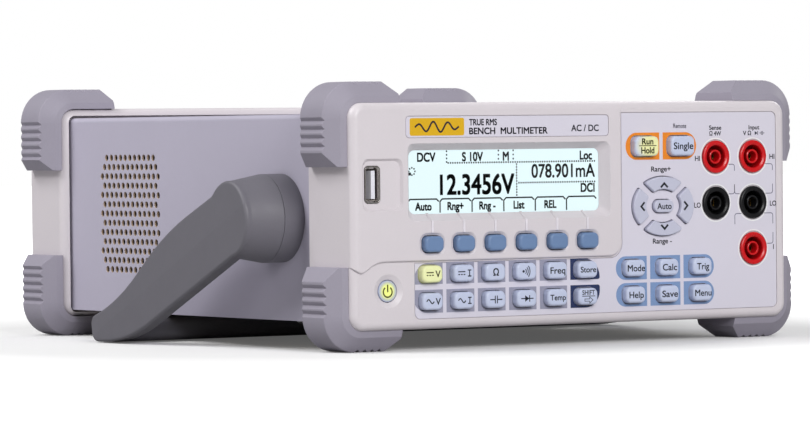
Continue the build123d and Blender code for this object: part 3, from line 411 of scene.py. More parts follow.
def finishes():
    """One material for each material slot of the record."""
    return {
        # The corner-darkening amounts given below are painted shade.
        "housing": moulded("housing_abs", OFF_WHITE, rough=0.42, grain=0.45, depth=0.006, mottle=0.012,
                           wear=0.05, dirt=0.12),
        "film": moulded("keypad_film", FILM, rough=0.36, grain=0.3, depth=0.004, mottle=0.01, wear=0.03,
                        dirt=0.15, soft=0.1),
        "window": clear_plate("window_clear"),
        "display": moulded("display_carrier", (40, 42, 46), rough=0.4),
        "circuit_board": circuit_board("solder_mask"),
        "silicone": moulded("contact_mat", (168, 170, 174), rough=0.6),
        "connector_steel": metal("connector_shell", (190, 184, 180), 0.22),
        "nickel": metal("nickel_plate", (205, 200, 190), 0.18),
        "red_plastic": moulded("jack_red", JACK_RED, rough=0.3, grain=0.8, depth=0.004, wear=0.06, dirt=0.5,
                               soft=0.2),
        "black_plastic": moulded("jack_black", JACK_BLACK, rough=0.36, grain=0.8, depth=0.004, mottle=0.05,
                                 wear=0.4, dirt=0.3, soft=0.2, shine=0.3),
        "brass": metal("contact_brass", (214, 172, 92), 0.25),
        "bumper_rubber": moulded("bumper_rubber", BUMPER, rough=0.55, depth=0.014, mottle=0.02, dirt=0.15,
                                 soft=0.5, shine=0.35),
        "case_paint": powder_coat("case_powder_coat", CASE, soft=0.2, shine=0.4),
        "plated_steel": metal("zinc_sheet", (196, 184, 160), 0.35, brush=(1, 0.1, 1), grain=0.8),
        "panel_paint": powder_coat("panel_powder_coat", scaled(CASE, 1.08)),
        "component_black": moulded("component_black", (34, 34, 36), rough=0.45),
        "core_steel": metal("laminations", (112, 108, 104), 0.5, brush=(1, 1, 12), grain=0.5, depth=0.02),
        "handle_plastic": moulded("handle_nylon", HANDLE, grain=0.45, depth=0.016, mottle=0.02, wear=0.18,
                                  dirt=0.3, soft=0.5, shine=0.45),
        "screw_steel": metal("screw_zinc", (182, 182, 186)),
        "soft_key_blue": satin("soft_key_blue", SOFT_KEY, rough=0.4, mottle=0.015, wear=0.08, dirt=0.1),
        "key_plastic": satin("key_satin", KEY),
        "pad_plastic": satin("pad_satin", PAD, dirt=0.12),
    }


def set_finish(node, material):
    """A finish that only this node has."""
    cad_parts[node].material_slots[0].material = material


def light_keys():
    """Lamps behind the standby button, the volts key and the run key."""
    power = centre_of("power_button")
    lamp = lit_plastic("power_lit", GLOW, POWER_RIM, (power.x, power.z), (4.1, 4.1), 0.2)
    set_finish("power_button", lamp)
    volts = centre_of("key_dc_volts")
    faded = scaled(LIT_YELLOW, 0.94)
    lamp = lit_plastic("volts_lit", LIT_YELLOW, faded, (volts.x, volts.z), (7.5, 6.0), 0.08)
    set_finish("key_dc_volts", lamp)
    run = centre_of("key_run_hold")
    lamp = lit_plastic("run_lit", LIT_CREAM, KEY, (run.x + 1.4, run.z), (7.6, 6.5), 0.05)
    set_finish("key_run_hold", lamp)


def bare_inside(case_paint):
    """The inside of the case, and the walls of its vents, are bare chromated steel."""
    low, high = (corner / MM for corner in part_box("case_cover"))
    repaint(case_paint, low + Vector((0.1, -1, -1)), high + Vector((-0.1, 1, -3)), CHROMATE)


def paint_ridge_highlight(housing):
    """The leader lines stand out from the bezel under the display, and their fronts get a painted highlight:
    a paler colour.
    """
    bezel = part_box("front_bezel")[0] / MM
    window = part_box("display_window")[0] / MM
    low = (window.x - 2, bezel.y - 1, bezel.z + 20)
    high = (-bezel.x * 0.4, bezel.y + 0.25, window.z + 6)
    repaint(housing, low, high, RIDGE_HIGHLIGHT)


def usb_shell():
    """Plated shell of the USB port, with a white tongue inside it."""
    low, high = (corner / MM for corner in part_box("usb_port"))
    middle = (low + high) / 2
    tongue_low = (middle.x - 0.45, low.y + 0.55, middle.z - 5.6)
    tongue_high = (middle.x + 1.45, high.y - 1.2, middle.z + 5.6)
    return repaint(metal("usb_shell", (214, 208, 204), 0.16), tongue_low, tongue_high, USB_TONGUE)


def dress_frame():
    """Give every CAD node its finish."""
    by_slot = finishes()
    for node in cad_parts.values():
        for slot in node.material_slots:
            if slot.material.name in by_slot:
                slot.material = by_slot[slot.material.name]
    light_keys()
    bare_inside(by_slot["case_paint"])
    paint_ridge_highlight(by_slot["housing"])
    set_finish("usb_port", usb_shell())


# ---- flat shapes ---------------------------------------------------------------


def arc(x, z, radius, start, end, steps=10):
    """Points of an arc; angles in degrees."""
    turn = [math.radians(start + (end - start) * i / steps) for i in range(steps + 1)]
    return [(x + radius * math.cos(a), z + radius * math.sin(a)) for a in turn]


def plate(left, bottom, right, top, corners=(0, 0, 0, 0)):
    """Rectangle outline; corner radii go lower left, lower right, upper right, upper left."""
    low_left, low_right, up_right, up_left = corners
    points = []
    for x, z, radius, turn in (
        (left + low_left, bottom + low_left, low_left, 180),
        (right - low_right, bottom + low_right, low_right, 270),
        (right - up_right, top - up_right, up_right, 0),
        (left + up_left, top - up_left, up_left, 90),
    ):
        points += arc(x, z, radius, turn, turn + 90, 12) if radius else [(x, z)]
    return points


def disc(x, z, radius):
    return arc(x, z, radius, 0, 360, 40)[:-1]


def stroke(points, width, closed=False):
    """Outlines of a line of even width, mitred at its bends."""
    count = len(points)
    left, right = [], []
    for i, (x, z) in enumerate(points):
        before = points[(i - 1) % count] if closed or i else None
        after = points[(i + 1) % count] if closed or i < count - 1 else None
        steps = []
        if before:
            steps.append(Vector((x - before[0], z - before[1])).normalized())
        if after:
            steps.append(Vector((after[0] - x, after[1] - z)).normalized())
        along = sum(steps, Vector((0, 0))).normalized()
        side = Vector((-along.y, along.x))
        flat = Vector((-steps[0].y, steps[0].x))
        reach = width / 2 / max(0.35, side.dot(flat))
        left.append((x + side.x * reach, z + side.y * reach))
        right.append((x - side.x * reach, z - side.y * reach))
    return [left, right] if closed else [left + right[::-1]]


def filled(outlines, thick=INK):
    """A thin closed solid from outlines; an outline inside another is a hole."""
    curve = bpy.data.curves.new("flat", "CURVE")
    curve.dimensions = "2D"
    curve.fill_mode = "BOTH"
    curve.extrude = thick / 2
    for points in outlines:
        spline = curve.splines.new("POLY")
        spline.points.add(len(points) - 1)
        for point, (x, z) in zip(spline.points, points):
            point.co = (x, z, 0, 1)
        spline.use_cyclic_u = True
    return as_mesh(curve)


def written(text, size, thick=INK):
    """Flat letters on a base line, as Blender's own font sets them."""
    curve = bpy.data.curves.new("letters", "FONT")
    curve.body = text
    curve.size = size
    curve.extrude = thick / 2
    return as_mesh(curve)


def emboldened(mesh, by):
    """The same letters set five times, a little apart, so that every stroke is wider."""
    joined = bmesh.new()
    for dx, dz in ((0, 0), (by, by), (by, -by), (-by, by), (-by, -by)):
        already = len(joined.verts)
        joined.from_mesh(mesh)
        joined.verts.ensure_lookup_table()
        for vertex in joined.verts[already:]:
            vertex.co += Vector((dx, dz, 0))
    joined.to_mesh(mesh)
    joined.free()
    return mesh


def lettering(text, height, x, z, align="CENTER", width=None, weight=0.05, squeeze=1.0):
    """Text whose capitals are height millimetres tall and centred on z; a width draws it out or in."""
    mesh = emboldened(written(text, height / CAP_SHARE), weight)
    left = min(v.co.x for v in mesh.vertices)
    right = max(v.co.x for v in mesh.vertices)
    wide = width / (right - left) if width else squeeze
    anchor = {"LEFT": left, "CENTER": (left + right) / 2, "RIGHT": right}[align]
    stretch = Matrix.Diagonal((wide, 1, 1, 1)) @ Matrix.Translation((-anchor, 0, 0))
    mesh.transform(Matrix.Translation((x, z - height / 2, 0)) @ stretch)
    return mesh


def as_mesh(curve):
    """The curve's evaluated mesh, with nothing left in the scene."""
    holder = bpy.data.objects.new("holder", curve)
    bpy.context.scene.collection.objects.link(holder)
    graph = bpy.context.evaluated_depsgraph_get()
    mesh = bpy.data.meshes.new_from_object(holder.evaluated_get(graph))
    bpy.data.objects.remove(holder)
    bpy.data.curves.remove(curve)
    return mesh


def art(name, meshes, material, depth, body=ROOT):
    """Join flat shapes into one piece that stands upright with its middle at a depth (metres along Y)."""
    together = bmesh.new()
    for mesh in meshes:
        together.from_mesh(mesh)
        bpy.data.meshes.remove(mesh)
    bmesh.ops.remove_doubles(together, verts=together.verts, dist=1e-5)
    upright = Matrix.Translation((0, depth, 0)) @ Matrix.Rotation(math.pi / 2, 4, "X") @ Matrix.Scale(MM, 4)
    together.transform(upright)
    data = bpy.data.meshes.new(name)
    together.to_mesh(data)
    together.free()
    data.materials.append(material)
    piece = bpy.data.objects.new(name, data)
    bpy.context.scene.collection.objects.link(piece)
    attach(piece, body)
    return piece


def surface_depth(node, x, z):
    """Where a line from the front at (x, z) millimetres meets a node, as metres along Y."""
    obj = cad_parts[node]
    tree = BVHTree.FromPolygons([v.co for v in obj.data.vertices], [p.vertices for p in obj.data.polygons])
    hit = tree.ray_cast(Vector((x * MM, -1, z * MM)), Vector((0, 1, 0)))[0]
    return hit.y


def capital_share():
    """Height of a capital in the built-in font, per unit of size."""
    mesh = written("H", 1.0)
    tall = max(v.co.y for v in mesh.vertices)
    bpy.data.meshes.remove(mesh)
    return tall


CAP_SHARE = capital_share()


# ---- panel layout, from the frame -------------------------------------------------

CELL_GAP = 1.7                # bare film between neighbouring cells
HOLE_GAP = 0.42               # bare rim round a key in the printed film
KEY_CORNER = 2.4
FLANGE_REACH = 0.9            # how far a key's hidden flange stands out past its cap

FUNCTION_ROWS = [
    ["key_dc_volts", "key_dc_current", "key_ohms", "key_continuity", "key_frequency", "key_preset"],
    ["key_ac_volts", "key_ac_current", "key_capacitance", "key_diode", "key_sensor", "key_shift"],
]
MENU_ROWS = [
    ["key_measure", "key_math", "key_trigger"],
    ["key_help", "key_save", "key_utility"],
]
RUN_ROW = ["key_run_hold", "key_single"]


def key_hole(node):
    """Outline of the bare opening round a key."""
    centre, size = centre_of(node), size_of(node)
    half_w = size.x / 2 - FLANGE_REACH + HOLE_GAP
    half_h = size.z / 2 - FLANGE_REACH + HOLE_GAP
    return plate(centre.x - half_w, centre.z - half_h, centre.x + half_w, centre.z + half_h,
                 [KEY_CORNER + HOLE_GAP] * 4)


def cell_row(names, bottom, top, first_more, last_more, left_corner, right_corner):
    """Cell outlines behind a row of keys, with rounded outer ends."""
    centres = [centre_of(name).x for name in names]
    pitch = (centres[-1] - centres[0]) / (len(centres) - 1)
    half = (pitch - CELL_GAP) / 2
    cells = []
    for i, (name, x) in enumerate(zip(names, centres)):
        left = x - half - (first_more if i == 0 else 0)
        right = x + half + (last_more if i == len(names) - 1 else 0)
        low_left, up_left = left_corner if i == 0 else (0, 0)
        low_right, up_right = right_corner if i == len(names) - 1 else (0, 0)
        cell = plate(left, bottom, right, top, (low_left, low_right, up_right, up_left))
        cells.append([cell, key_hole(name)])
    return cells


def function_cells(depth):
    """Grey cells behind the function keys, and the navy pair at their right end."""
    grey, navy = [], []
    upper_z = centre_of("key_dc_volts").z
    lower_z = centre_of("key_ac_volts").z
    half = 4.6
    rows = [
        (FUNCTION_ROWS[0], upper_z - half + 0.5, upper_z + half, (1.0, 8.4), (1.0, 8.0)),
        (FUNCTION_ROWS[1], lower_z - half, lower_z + half, (7.0, 1.0), (7.0, 1.0)),
    ]
    for names, bottom, top, left_corner, right_corner in rows:
        cells = cell_row(names, bottom, top, 0.9, 1.2, left_corner, right_corner)
        grey += [filled(cell) for cell in cells[:-1]]
        navy.append(filled(cells[-1]))
    art("function_cells", grey, ink("ink_function", FUNCTION_CELL), depth)
    art("shift_cells", navy, ink("ink_navy", NAVY), depth)


def menu_cells(depth):
    """Blue cells behind the six menu keys."""
    shapes = []
    for names in MENU_ROWS:
        z = centre_of(names[0]).z
        for cell in cell_row(names, z - 4.8, z + 4.8, 0.3, 0.3, (4.7, 4.7), (4.7, 4.7)):
            shapes.append(filled(cell))
    art("menu_cells", shapes, ink("ink_menu", MENU_CELL), depth)


def run_cells(depth):
    """Orange cells behind the run and single keys."""
    z = centre_of(RUN_ROW[0]).z
    cells = cell_row(RUN_ROW, z - 5.55, z + 5.55, 0.6, 0.6, (5.5, 5.5), (5.5, 5.5))
    art("run_cells", [filled(cell) for cell in cells], ink("ink_orange", ORANGE), depth)


# ---- legends on the keys -------------------------------------------------------------


def direct(x, z):
    """Direct current sign: a bar over three dots."""
    shapes = [filled(stroke([(x - 1.7, z + 0.6), (x + 1.7, z + 0.6)], 0.46))]
    for step in (-1.25, 0, 1.25):
        shapes.append(filled(stroke([(x + step - 0.42, z - 0.5), (x + step + 0.42, z - 0.5)], 0.46)))
    return shapes


def wave(x, z, width=3.5, height=0.8, line=0.5):
    """One period of a sine."""
    points = [(x + width * (i / 20 - 0.5), z + height * math.sin(2 * math.pi * i / 20)) for i in range(21)]
    return [filled(stroke(points, line))]


def volts_dc(x, z):
    return direct(x - 1.4, z) + [lettering("V", 2.6, x + 2.3, z)]


def amps_dc(x, z):
    return direct(x - 1.4, z) + current_sign(x + 2.3, z)


def volts_ac(x, z):
    return wave(x - 1.4, z) + [lettering("V", 2.6, x + 2.3, z)]


def amps_ac(x, z):
    return wave(x - 1.4, z) + current_sign(x + 2.3, z)


def current_sign(x, z):
    """Upright I with serifs."""
    lines = [[(x, z - 1.3), (x, z + 1.3)]]
    lines += [[(x - 0.85, z + end), (x + 0.85, z + end)] for end in (-1.2, 1.2)]
    return [filled(stroke(line, 0.46)) for line in lines]


def ohms(x, z):
    return [lettering("Ω", 2.7, x, z, weight=0.08)]


def sound(x, z):
    """Continuity: a dot and three sound waves."""
    shapes = [filled([disc(x - 1.7, z, 0.55)])]
    for radius in (1.4, 2.3, 3.2):
        shapes.append(filled(stroke(arc(x - 1.8, z, radius, -42, 42), 0.42)))
    return shapes


def capacitor(x, z):
    lines = [
        [(x - 2.9, z), (x - 0.5, z)],
        [(x + 0.5, z), (x + 2.9, z)],
        [(x - 0.5, z - 1.55), (x - 0.5, z + 1.55)],
        [(x + 0.5, z - 1.55), (x + 0.5, z + 1.55)],
    ]
    return [filled(stroke(line, 0.46)) for line in lines]


def diode(x, z):
    shapes = [filled([[(x - 1.1, z - 1.3), (x + 1.0, z), (x - 1.1, z + 1.3)]])]
    shapes.append(filled(stroke([(x - 3.0, z), (x + 3.0, z)], 0.44)))
    shapes.append(filled(stroke([(x + 1.1, z - 1.3), (x + 1.1, z + 1.3)], 0.46)))
    return shapes


def word(text, height, width):
    """A legend that is one word."""
    return lambda x, z: [lettering(text, height, x, z, width=width)]


def shift_legend(x, z):
    """Shift over an open arrow."""
    arrow = [
        (x - 1.9, z - 1.9), (x + 0.5, z - 1.9), (x + 0.5, z - 2.7), (x + 2.1, z - 1.45),
        (x + 0.5, z - 0.25), (x + 0.5, z - 1.0), (x - 1.9, z - 1.0),
    ]
    return [
        lettering("SHIFT", 1.9, x, z + 1.6, width=6.2, weight=0.03),
        filled(stroke([(x - 3.2, z + 0.15), (x + 3.2, z + 0.15)], 0.3)),
        filled(stroke(arrow, 0.26, closed=True)),
    ]


def run_legend(x, z):
    return [
        lettering("Run", 2.4, x, z + 1.95, width=5.7, weight=0.09),
        filled(stroke([(x - 4.4, z + 0.2), (x + 4.4, z + 0.2)], 0.34)),
        lettering("Hold", 2.4, x, z - 1.7, width=6.6, weight=0.09),
    ]


def chevron(turn):
    """Arrowhead legend for a pad key, pointing at an angle."""
    def draw(x, z):
        tips = [(-0.95, 1.75), (0.75, 0), (-0.95, -1.75)]
        angle = math.radians(turn)
        points = [
            (x + a * math.cos(angle) - b * math.sin(angle), z + a * math.sin(angle) + b * math.cos(angle))
            for a, b in tips
        ]
        return [filled(stroke(points, 0.85))]
    return draw


def power_sign(x, z):
    """Standby sign: an open ring with a bar."""
    return [
        filled(stroke(arc(x, z - 0.3, 2.05, 125, 415, 24), 0.62)),
        filled(stroke([(x, z - 0.4), (x, z + 2.6)], 0.62)),
    ]


LEGENDS = {
    "key_dc_volts": (volts_dc, "olive"),
    "key_dc_current": (amps_dc, "dark"),
    "key_ohms": (ohms, "dark"),
    "key_continuity": (sound, "dark"),
    "key_frequency": (word("Freq", 2.5, 7.3), "dark"),
    "key_preset": (word("Store", 2.2, 7.6), "dark"),
    "key_ac_volts": (volts_ac, "dark"),
    "key_ac_current": (amps_ac, "dark"),
    "key_capacitance": (capacitor, "dark"),
    "key_diode": (diode, "dark"),
    "key_sensor": (word("Temp", 2.2, 7.6), "dark"),
    "key_shift": (shift_legend, "dark"),
    "key_measure": (word("Mode", 2.55, 8.6), "dark"),
    "key_math": (word("Calc", 2.55, 7.2), "dark"),
    "key_trigger": (word("Trig", 2.55, 6.2), "dark"),
    "key_help": (word("Help", 2.55, 7.2), "dark"),
    "key_save": (word("Save", 2.55, 7.9), "dark"),
    "key_utility": (word("Menu", 2.5, 8.3), "dark"),
    "key_run_hold": (run_legend, "olive"),
    "key_single": (word("Single", 2.7, 9.9), "dark"),
    "key_auto": (word("Auto", 2.4, 7.2), "dark"),
    "arrow_up": (chevron(90), "black"),
    "arrow_down": (chevron(270), "black"),
    "arrow_left": (chevron(180), "black"),
    "arrow_right": (chevron(0), "black"),
    "power_button": (power_sign, "olive"),
}


def legend_centre(node):
    """Middle of a key's face. An arrow key's box is wider than its arc, so it is nudged off the middle."""
    centre = centre_of(node)
    nudge = {"arrow_up": (0, -0.4), "arrow_down": (0, 0.4), "arrow_left": (0.4, 0), "arrow_right": (-0.4, 0)}
    shift = nudge.get(node, (0, 0))
    return centre.x + shift[0], centre.z + shift[1]


def key_legends():
    """Print each key's legend on its face, and attach it to a body named after the key."""
    inks = {
        "dark": ink("ink_legend", INK_DARK),
        "olive": ink("ink_olive", OLIVE),
        "black": ink("ink_chevron", INK_BLACK),
    }
    for node, (draw, colour) in LEGENDS.items():
        x, z = legend_centre(node)
        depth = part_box(node)[0].y
        art(f"{node}_legend", draw(x, z), inks[colour], depth, body=node)


# ---- words and lines on the panel ------------------------------------------------------


def panel_words(depth):
    """Range, jack and input legends on the film."""
    pad = centre_of("key_auto")
    pad_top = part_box("arrow_up")[1].z / MM
    pad_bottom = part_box("arrow_down")[0].z / MM
    sense_x, input_x = jack_columns()
    upper, middle, lower = jack_rows()
    single = centre_of("key_single")
    words = [
        lettering("Range+", 2.0, pad.x - 0.4, pad_top + 2.6, width=9.9),
        lettering("Range -", 2.0, pad.x, pad_bottom - 1.7, width=9.6),
        lettering("Sense", 1.7, sense_x, upper + 12.0, width=6.2),
        lettering("Ω 4W", 1.7, sense_x, upper + 9.6, width=6.0),
        lettering("Input", 1.7, input_x + 1.0, upper + 12.0, width=5.6),
        lettering("V Ω", 1.7, input_x - 2.6, upper + 9.6, width=4.2),
        lettering("HI", 2.0, sense_x - 9.2, upper - 0.6, width=2.6),
        lettering("LO", 2.0, sense_x - 9.4, middle - 0.8, width=3.3),
        lettering("HI", 2.0, input_x + 10.2, upper - 0.2, width=2.6),
        lettering("LO", 2.0, input_x + 10.6, middle - 0.6, width=3.3),
        lettering("I", 2.0, input_x + 10.6, lower + 0.4),
    ]
    words += small_signs(input_x + 2.2, upper + 9.6)
    art("panel_words", words, ink("ink_words", INK_DARK), depth)
    art("remote_word", [lettering("Remote", 1.8, single.x + 0.6, single.z + 8.2, width=6.6)],
        ink("ink_pale", INK_PALE), depth)


def small_signs(x, z):
    """Diode and capacitor signs over the input jacks."""
    tall = 0.8
    shapes = [filled([[(x - 0.8, z - tall), (x + 0.6, z), (x - 0.8, z + tall)]])]
    for bar in (0.75, 2.6, 3.3):
        shapes.append(filled(stroke([(x + bar, z - tall), (x + bar, z + tall)], 0.3)))
    for lead in (1.7, 3.3):
        shapes.append(filled(stroke([(x + lead, z), (x + lead + 0.9, z)], 0.26)))
    return shapes


def jack_columns():
    """X of the sense column and of the input column."""
    low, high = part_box("black_jacks")
    reach = (high.z - low.z) / 2
    return (low.x + reach) / MM, (high.x - reach) / MM


def jack_rows():
    """Z of the upper, middle and lower jacks."""
    black_low, black_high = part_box("black_jacks")
    red_low, red_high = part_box("red_jacks")
    reach = (black_high.z - black_low.z) / 2
    return (red_high.z - reach) / MM, (black_low.z + reach) / MM, (red_low.z + reach) / MM


def bent(points, radius=1.2):
    """A path with its inner corners rounded."""
    path = [points[0]]
    for before, corner, after in zip(points, points[1:], points[2:]):
        back = (Vector(before) - Vector(corner)).normalized() * radius
        on = (Vector(after) - Vector(corner)).normalized() * radius
        start, end = Vector(corner) + back, Vector(corner) + on
        for i in range(7):
            t = i / 6
            path.append(tuple(start * (1 - t) ** 2 + Vector(corner) * 2 * t * (1 - t) + end * t ** 2))
    return path + [points[-1]]


def jack_brackets(depth):
    """Lines that pair the jacks, broken off where they would carry a rating."""
    sense_x, input_x = jack_columns()
    upper, middle, lower = jack_rows()
    rim = 7.0
    between = (sense_x + input_x) / 2 + 0.2
    outer = input_x + 10.4
    half_way = (upper + middle) / 2
    leave = upper - 3.2                   # where a line leaves an upper jack
    gap_top, gap_bottom = half_way + 3.6, half_way - 2.0
    arrive = middle + 3.6
    below = middle - 4.6
    paths = [
        [(sense_x + rim - 0.3, leave), (between, leave), (between, gap_top)],
        [(between, gap_bottom), (between, arrive), (sense_x + rim - 0.4, arrive)],
        [(between, gap_bottom), (between, arrive), (input_x - rim + 0.4, arrive)],
        [(input_x + rim - 0.3, leave), (outer, leave), (outer, gap_top)],
        [(outer, gap_bottom), (outer, arrive), (input_x + rim - 0.4, arrive)],
        [(input_x - rim + 1.2, below), (between, below), (between, below - 4.4)],
        [(input_x + rim - 1.2, below), (outer, below), (outer, below - 4.4)],
        [(outer, lower + 6.4), (outer, lower + 1.8), (input_x + rim + 0.2, lower + 1.8)],
    ]
    lines = [filled(stroke(bent(path), 0.3)) for path in paths]
    art("jack_lines", lines, ink("ink_lines", INK_GREY), depth)


def jack_rings(depth):
    """White rings printed round the jacks."""
    sense_x, input_x = jack_columns()
    upper, middle, lower = jack_rows()
    places = [(sense_x, upper), (sense_x, middle), (input_x, upper), (input_x, middle), (input_x, lower)]
    rings = [filled([disc(x, z, 7.3), disc(x, z, 7.85)]) for x, z in places]
    art("jack_rings", rings, ink("ink_white", INK_WHITE), depth)


# ---- name strip ---------------------------------------------------------------------------


def name_strip():
    """Amber badge with a wave, and generic words beside it."""
    low, high = strip_box()
    middle = (low.z + high.z) / 2
    badge = plate(low.x + 1.7, middle - 3.5, low.x + 27.6, middle + 3.5, [0.9] * 4)
    art("badge", [filled([badge])], ink("ink_amber", AMBER, 0.35), low.y)
    trace = badge_trace(low.x + 14.6, middle, width=21, height=2.1, waves=3)
    above = low.y - INK * MM
    art("badge_wave", [filled(stroke(trace, 0.75))], ink("ink_badge", INK_BADGE), above)
    words = [
        lettering("TRUE RMS", 2.4, low.x + 30.0, middle + 1.7, "LEFT", 13.4, 0.09),
        lettering("BENCH  MULTIMETER", 2.5, low.x + 30.0, middle - 1.8, "LEFT", 38.0, 0.09),
        lettering("AC / DC", 2.5, low.x + 79.6, middle - 1.0, "LEFT", 13.6, 0.07),
    ]
    art("strip_words", words, ink("ink_strip", INK_STRIP), low.y)


def badge_trace(x, z, width, height, waves):
    """A sine that swells from one end and dies away at the other."""
    points = []
    for i in range(61):
        t = i / 60
        swell = math.sin(math.pi * t) ** 0.5
        rise = height * swell * math.sin(2 * math.pi * waves * t)
        points.append((x + width * (t - 0.5), z + rise))
    return points


def strip_box():
    """Low and high corner of the name strip, the foremost film: X and Z in millimetres, Y in metres."""
    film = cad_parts["panel_films"]
    front = min(v.co.y for v in film.data.vertices)
    strip = [v.co for v in film.data.vertices if v.co.y < front + 0.6 * MM]
    low = Vector([min(p[i] for p in strip) for i in range(3)])
    high = Vector([max(p[i] for p in strip) for i in range(3)])
    return Vector((low.x / MM, front, low.z / MM)), Vector((high.x / MM, front, high.z / MM))


# ---- display ------------------------------------------------------------------------------


DISPLAY_RIM = 3.0             # dark border of the display module
DISPLAY_RULES = [             # dotted lines, from and to
    ((0.207, 0.02), (0.207, 0.19)),
    ((0.478, 0.02), (0.478, 0.15)),
    ((0.556, 0.02), (0.556, 0.15)),
    ((0.215, 0.205), (0.99, 0.205)),
    ((0.573, 0.24), (0.573, 0.73)),
    ((0.585, 0.535), (0.99, 0.535)),
]
TAB_LABELS = ["Auto", "Rng+", "Rng -", "List", "REL", ""]


def lit_area():
    """Left, bottom, right and top of the lit part of the display, in millimetres."""
    low, high = (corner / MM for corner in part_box("display_module"))
    return low.x + DISPLAY_RIM, low.z + DISPLAY_RIM, high.x - DISPLAY_RIM, high.z - DISPLAY_RIM


def on_display(u, v):
    """A place on the display: u from its left, v from its top, both 0 to 1."""
    left, bottom, right, top = lit_area()
    return left + u * (right - left), top - v * (top - bottom)


def display_text(text, u, v, tall, span=None, align="CENTER", weight=0.15):
    """Dark text on the display; its span is a share of the display's width."""
    x, z = on_display(u, v)
    left, _, right, _ = lit_area()
    width = span * (right - left) if span else None
    return lettering(text, tall, x, z, align, width, weight, 0.86)


def display_words():
    return [
        display_text("DCV", 0.102, 0.11, 3.4),
        display_text("S 10V", 0.342, 0.11, 3.4),
        display_text("M", 0.517, 0.11, 3.4),
        display_text("Loc", 0.944, 0.11, 3.4),
        display_text("12.3456V", 0.561, 0.548, 7.7, 0.39, "RIGHT", 0.26),
        display_text("078.901mA", 0.992, 0.352, 5.3, 0.34, "RIGHT", 0.12),
        display_text("DCI", 0.952, 0.63, 3.4),
    ]


def dotted(start, end, pitch=1.1):
    """A row of square dots between two places on the display."""
    (x0, z0), (x1, z1) = on_display(*start), on_display(*end)
    count = int(math.hypot(x1 - x0, z1 - z0) / pitch)
    dots = []
    for i in range(count + 1):
        x = x0 + (x1 - x0) * i / count
        z = z0 + (z1 - z0) * i / count
        dots.append(filled([plate(x - 0.32, z - 0.34, x + 0.32, z + 0.34)]))
    return dots


def spinner():
    """Eight dots in a ring, one of them large."""
    centre_x, centre_z = on_display(0.027, 0.33)
    dots = []
    for i in range(8):
        angle = i * math.pi / 4
        x = centre_x + 1.45 * math.cos(angle)
        z = centre_z + 1.45 * math.sin(angle)
        half = 0.6 if i == 5 else 0.32
        dots.append(filled([plate(x - half, z - half, x + half, z + half)]))
    return dots


def tabs():
    """Outlines with clipped corners along the bottom, one over each soft key."""
    shapes = []
    low, shoulder, top, clip = 0.985, 0.81, 0.77, 0.012
    for i, label in enumerate(TAB_LABELS):
        start = i / len(TAB_LABELS) + 0.004
        end = (i + 1) / len(TAB_LABELS) - 0.002
        corners = [(start, low), (start, shoulder), (start + clip, top), (end - clip, top), (end, shoulder)]
        shapes.append(filled(stroke([on_display(u, v) for u, v in corners], 0.6)))
        if label:
            shapes.append(display_text(label, (start + end) / 2, 0.885, 3.0))
    return shapes


def display():
    """The lit panel, and its dark segments just in front of it, both in the gap behind the window."""
    left, bottom, right, top = lit_area()
    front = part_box("display_module")[0].y
    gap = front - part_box("display_window")[1].y
    panel = plate(left - 0.4, bottom - 0.4, right + 2.0, top + 0.4)
    art("display_panel", [filled([panel])], display_light("lcd_light", LCD_LIGHT, 1.04), front - 0.3 * gap)
    dark = display_words() + spinner() + tabs()
    for start, end in DISPLAY_RULES:
        dark += dotted(start, end)
    art("display_segments", dark, ink("lcd_dark", LCD_DARK, 0.3), front - 0.55 * gap)


# ---- light, floor and camera -----------------------------------------------------------------


SKY = 0.25                    # brightness of the sky that lights the object
FLOOR_HALF = 6.0
FLOOR_BOUNCE = 0.42           # how pale the floor is to the object's own surfaces
FLOOR_PALE = (0.84, 0.88)     # and how pale it is to the camera
HAZE = 0.09                   # share of plain white in the floor beside the object


def grey(level):
    return (level, level, level, 1)


def soft_light(name, spot, aim, width, height, power):
    """A rectangular soft box at a spot, turned to the aim point; sizes in metres, power in watts."""
    light = bpy.data.lights.new(name, "AREA")
    light.shape = "RECTANGLE"
    light.size = width
    light.size_y = height
    light.energy = power
    lamp = bpy.data.objects.new(name, light)
    lamp.location = spot
    lamp.rotation_euler = (Vector(aim) - Vector(spot)).to_track_quat("-Z", "Y").to_euler()
    bpy.context.scene.collection.objects.link(lamp)


def studio():
    """A white backdrop that only the camera sees, a dim sky and three soft boxes."""
    world = bpy.data.worlds.new("studio")
    world.use_nodes = True
    tree = world.node_tree
    tree.nodes.clear()
    output = tree.nodes.new("ShaderNodeOutputWorld")
    seen, lit = tree.nodes.new("ShaderNodeBackground"), tree.nodes.new("ShaderNodeBackground")
    seen.inputs["Color"].default_value = grey(1)
    lit.inputs["Color"].default_value = grey(1)
    lit.inputs["Strength"].default_value = SKY
    path = tree.nodes.new("ShaderNodeLightPath")
    choose = tree.nodes.new("ShaderNodeMixShader")
    tree.links.new(path.outputs["Is Camera Ray"], choose.inputs["Fac"])
    tree.links.new(lit.outputs["Background"], choose.inputs[1])
    tree.links.new(seen.outputs["Background"], choose.inputs[2])
    tree.links.new(choose.outputs["Shader"], output.inputs["Surface"])
    bpy.context.scene.world = world
    low, high = cad_box
    middle = (low + high) / 2
    soft_light("front_light", (-0.4, -2.1, 0.95), middle, 1.0, 0.9, 33)
    soft_light("upper_left_light", (-1.25, 0.5, 1.3), middle, 0.9, 0.9, 20)
    soft_light("right_light", (1.7, 0.9, 1.1), middle, 1.0, 1.0, 20)


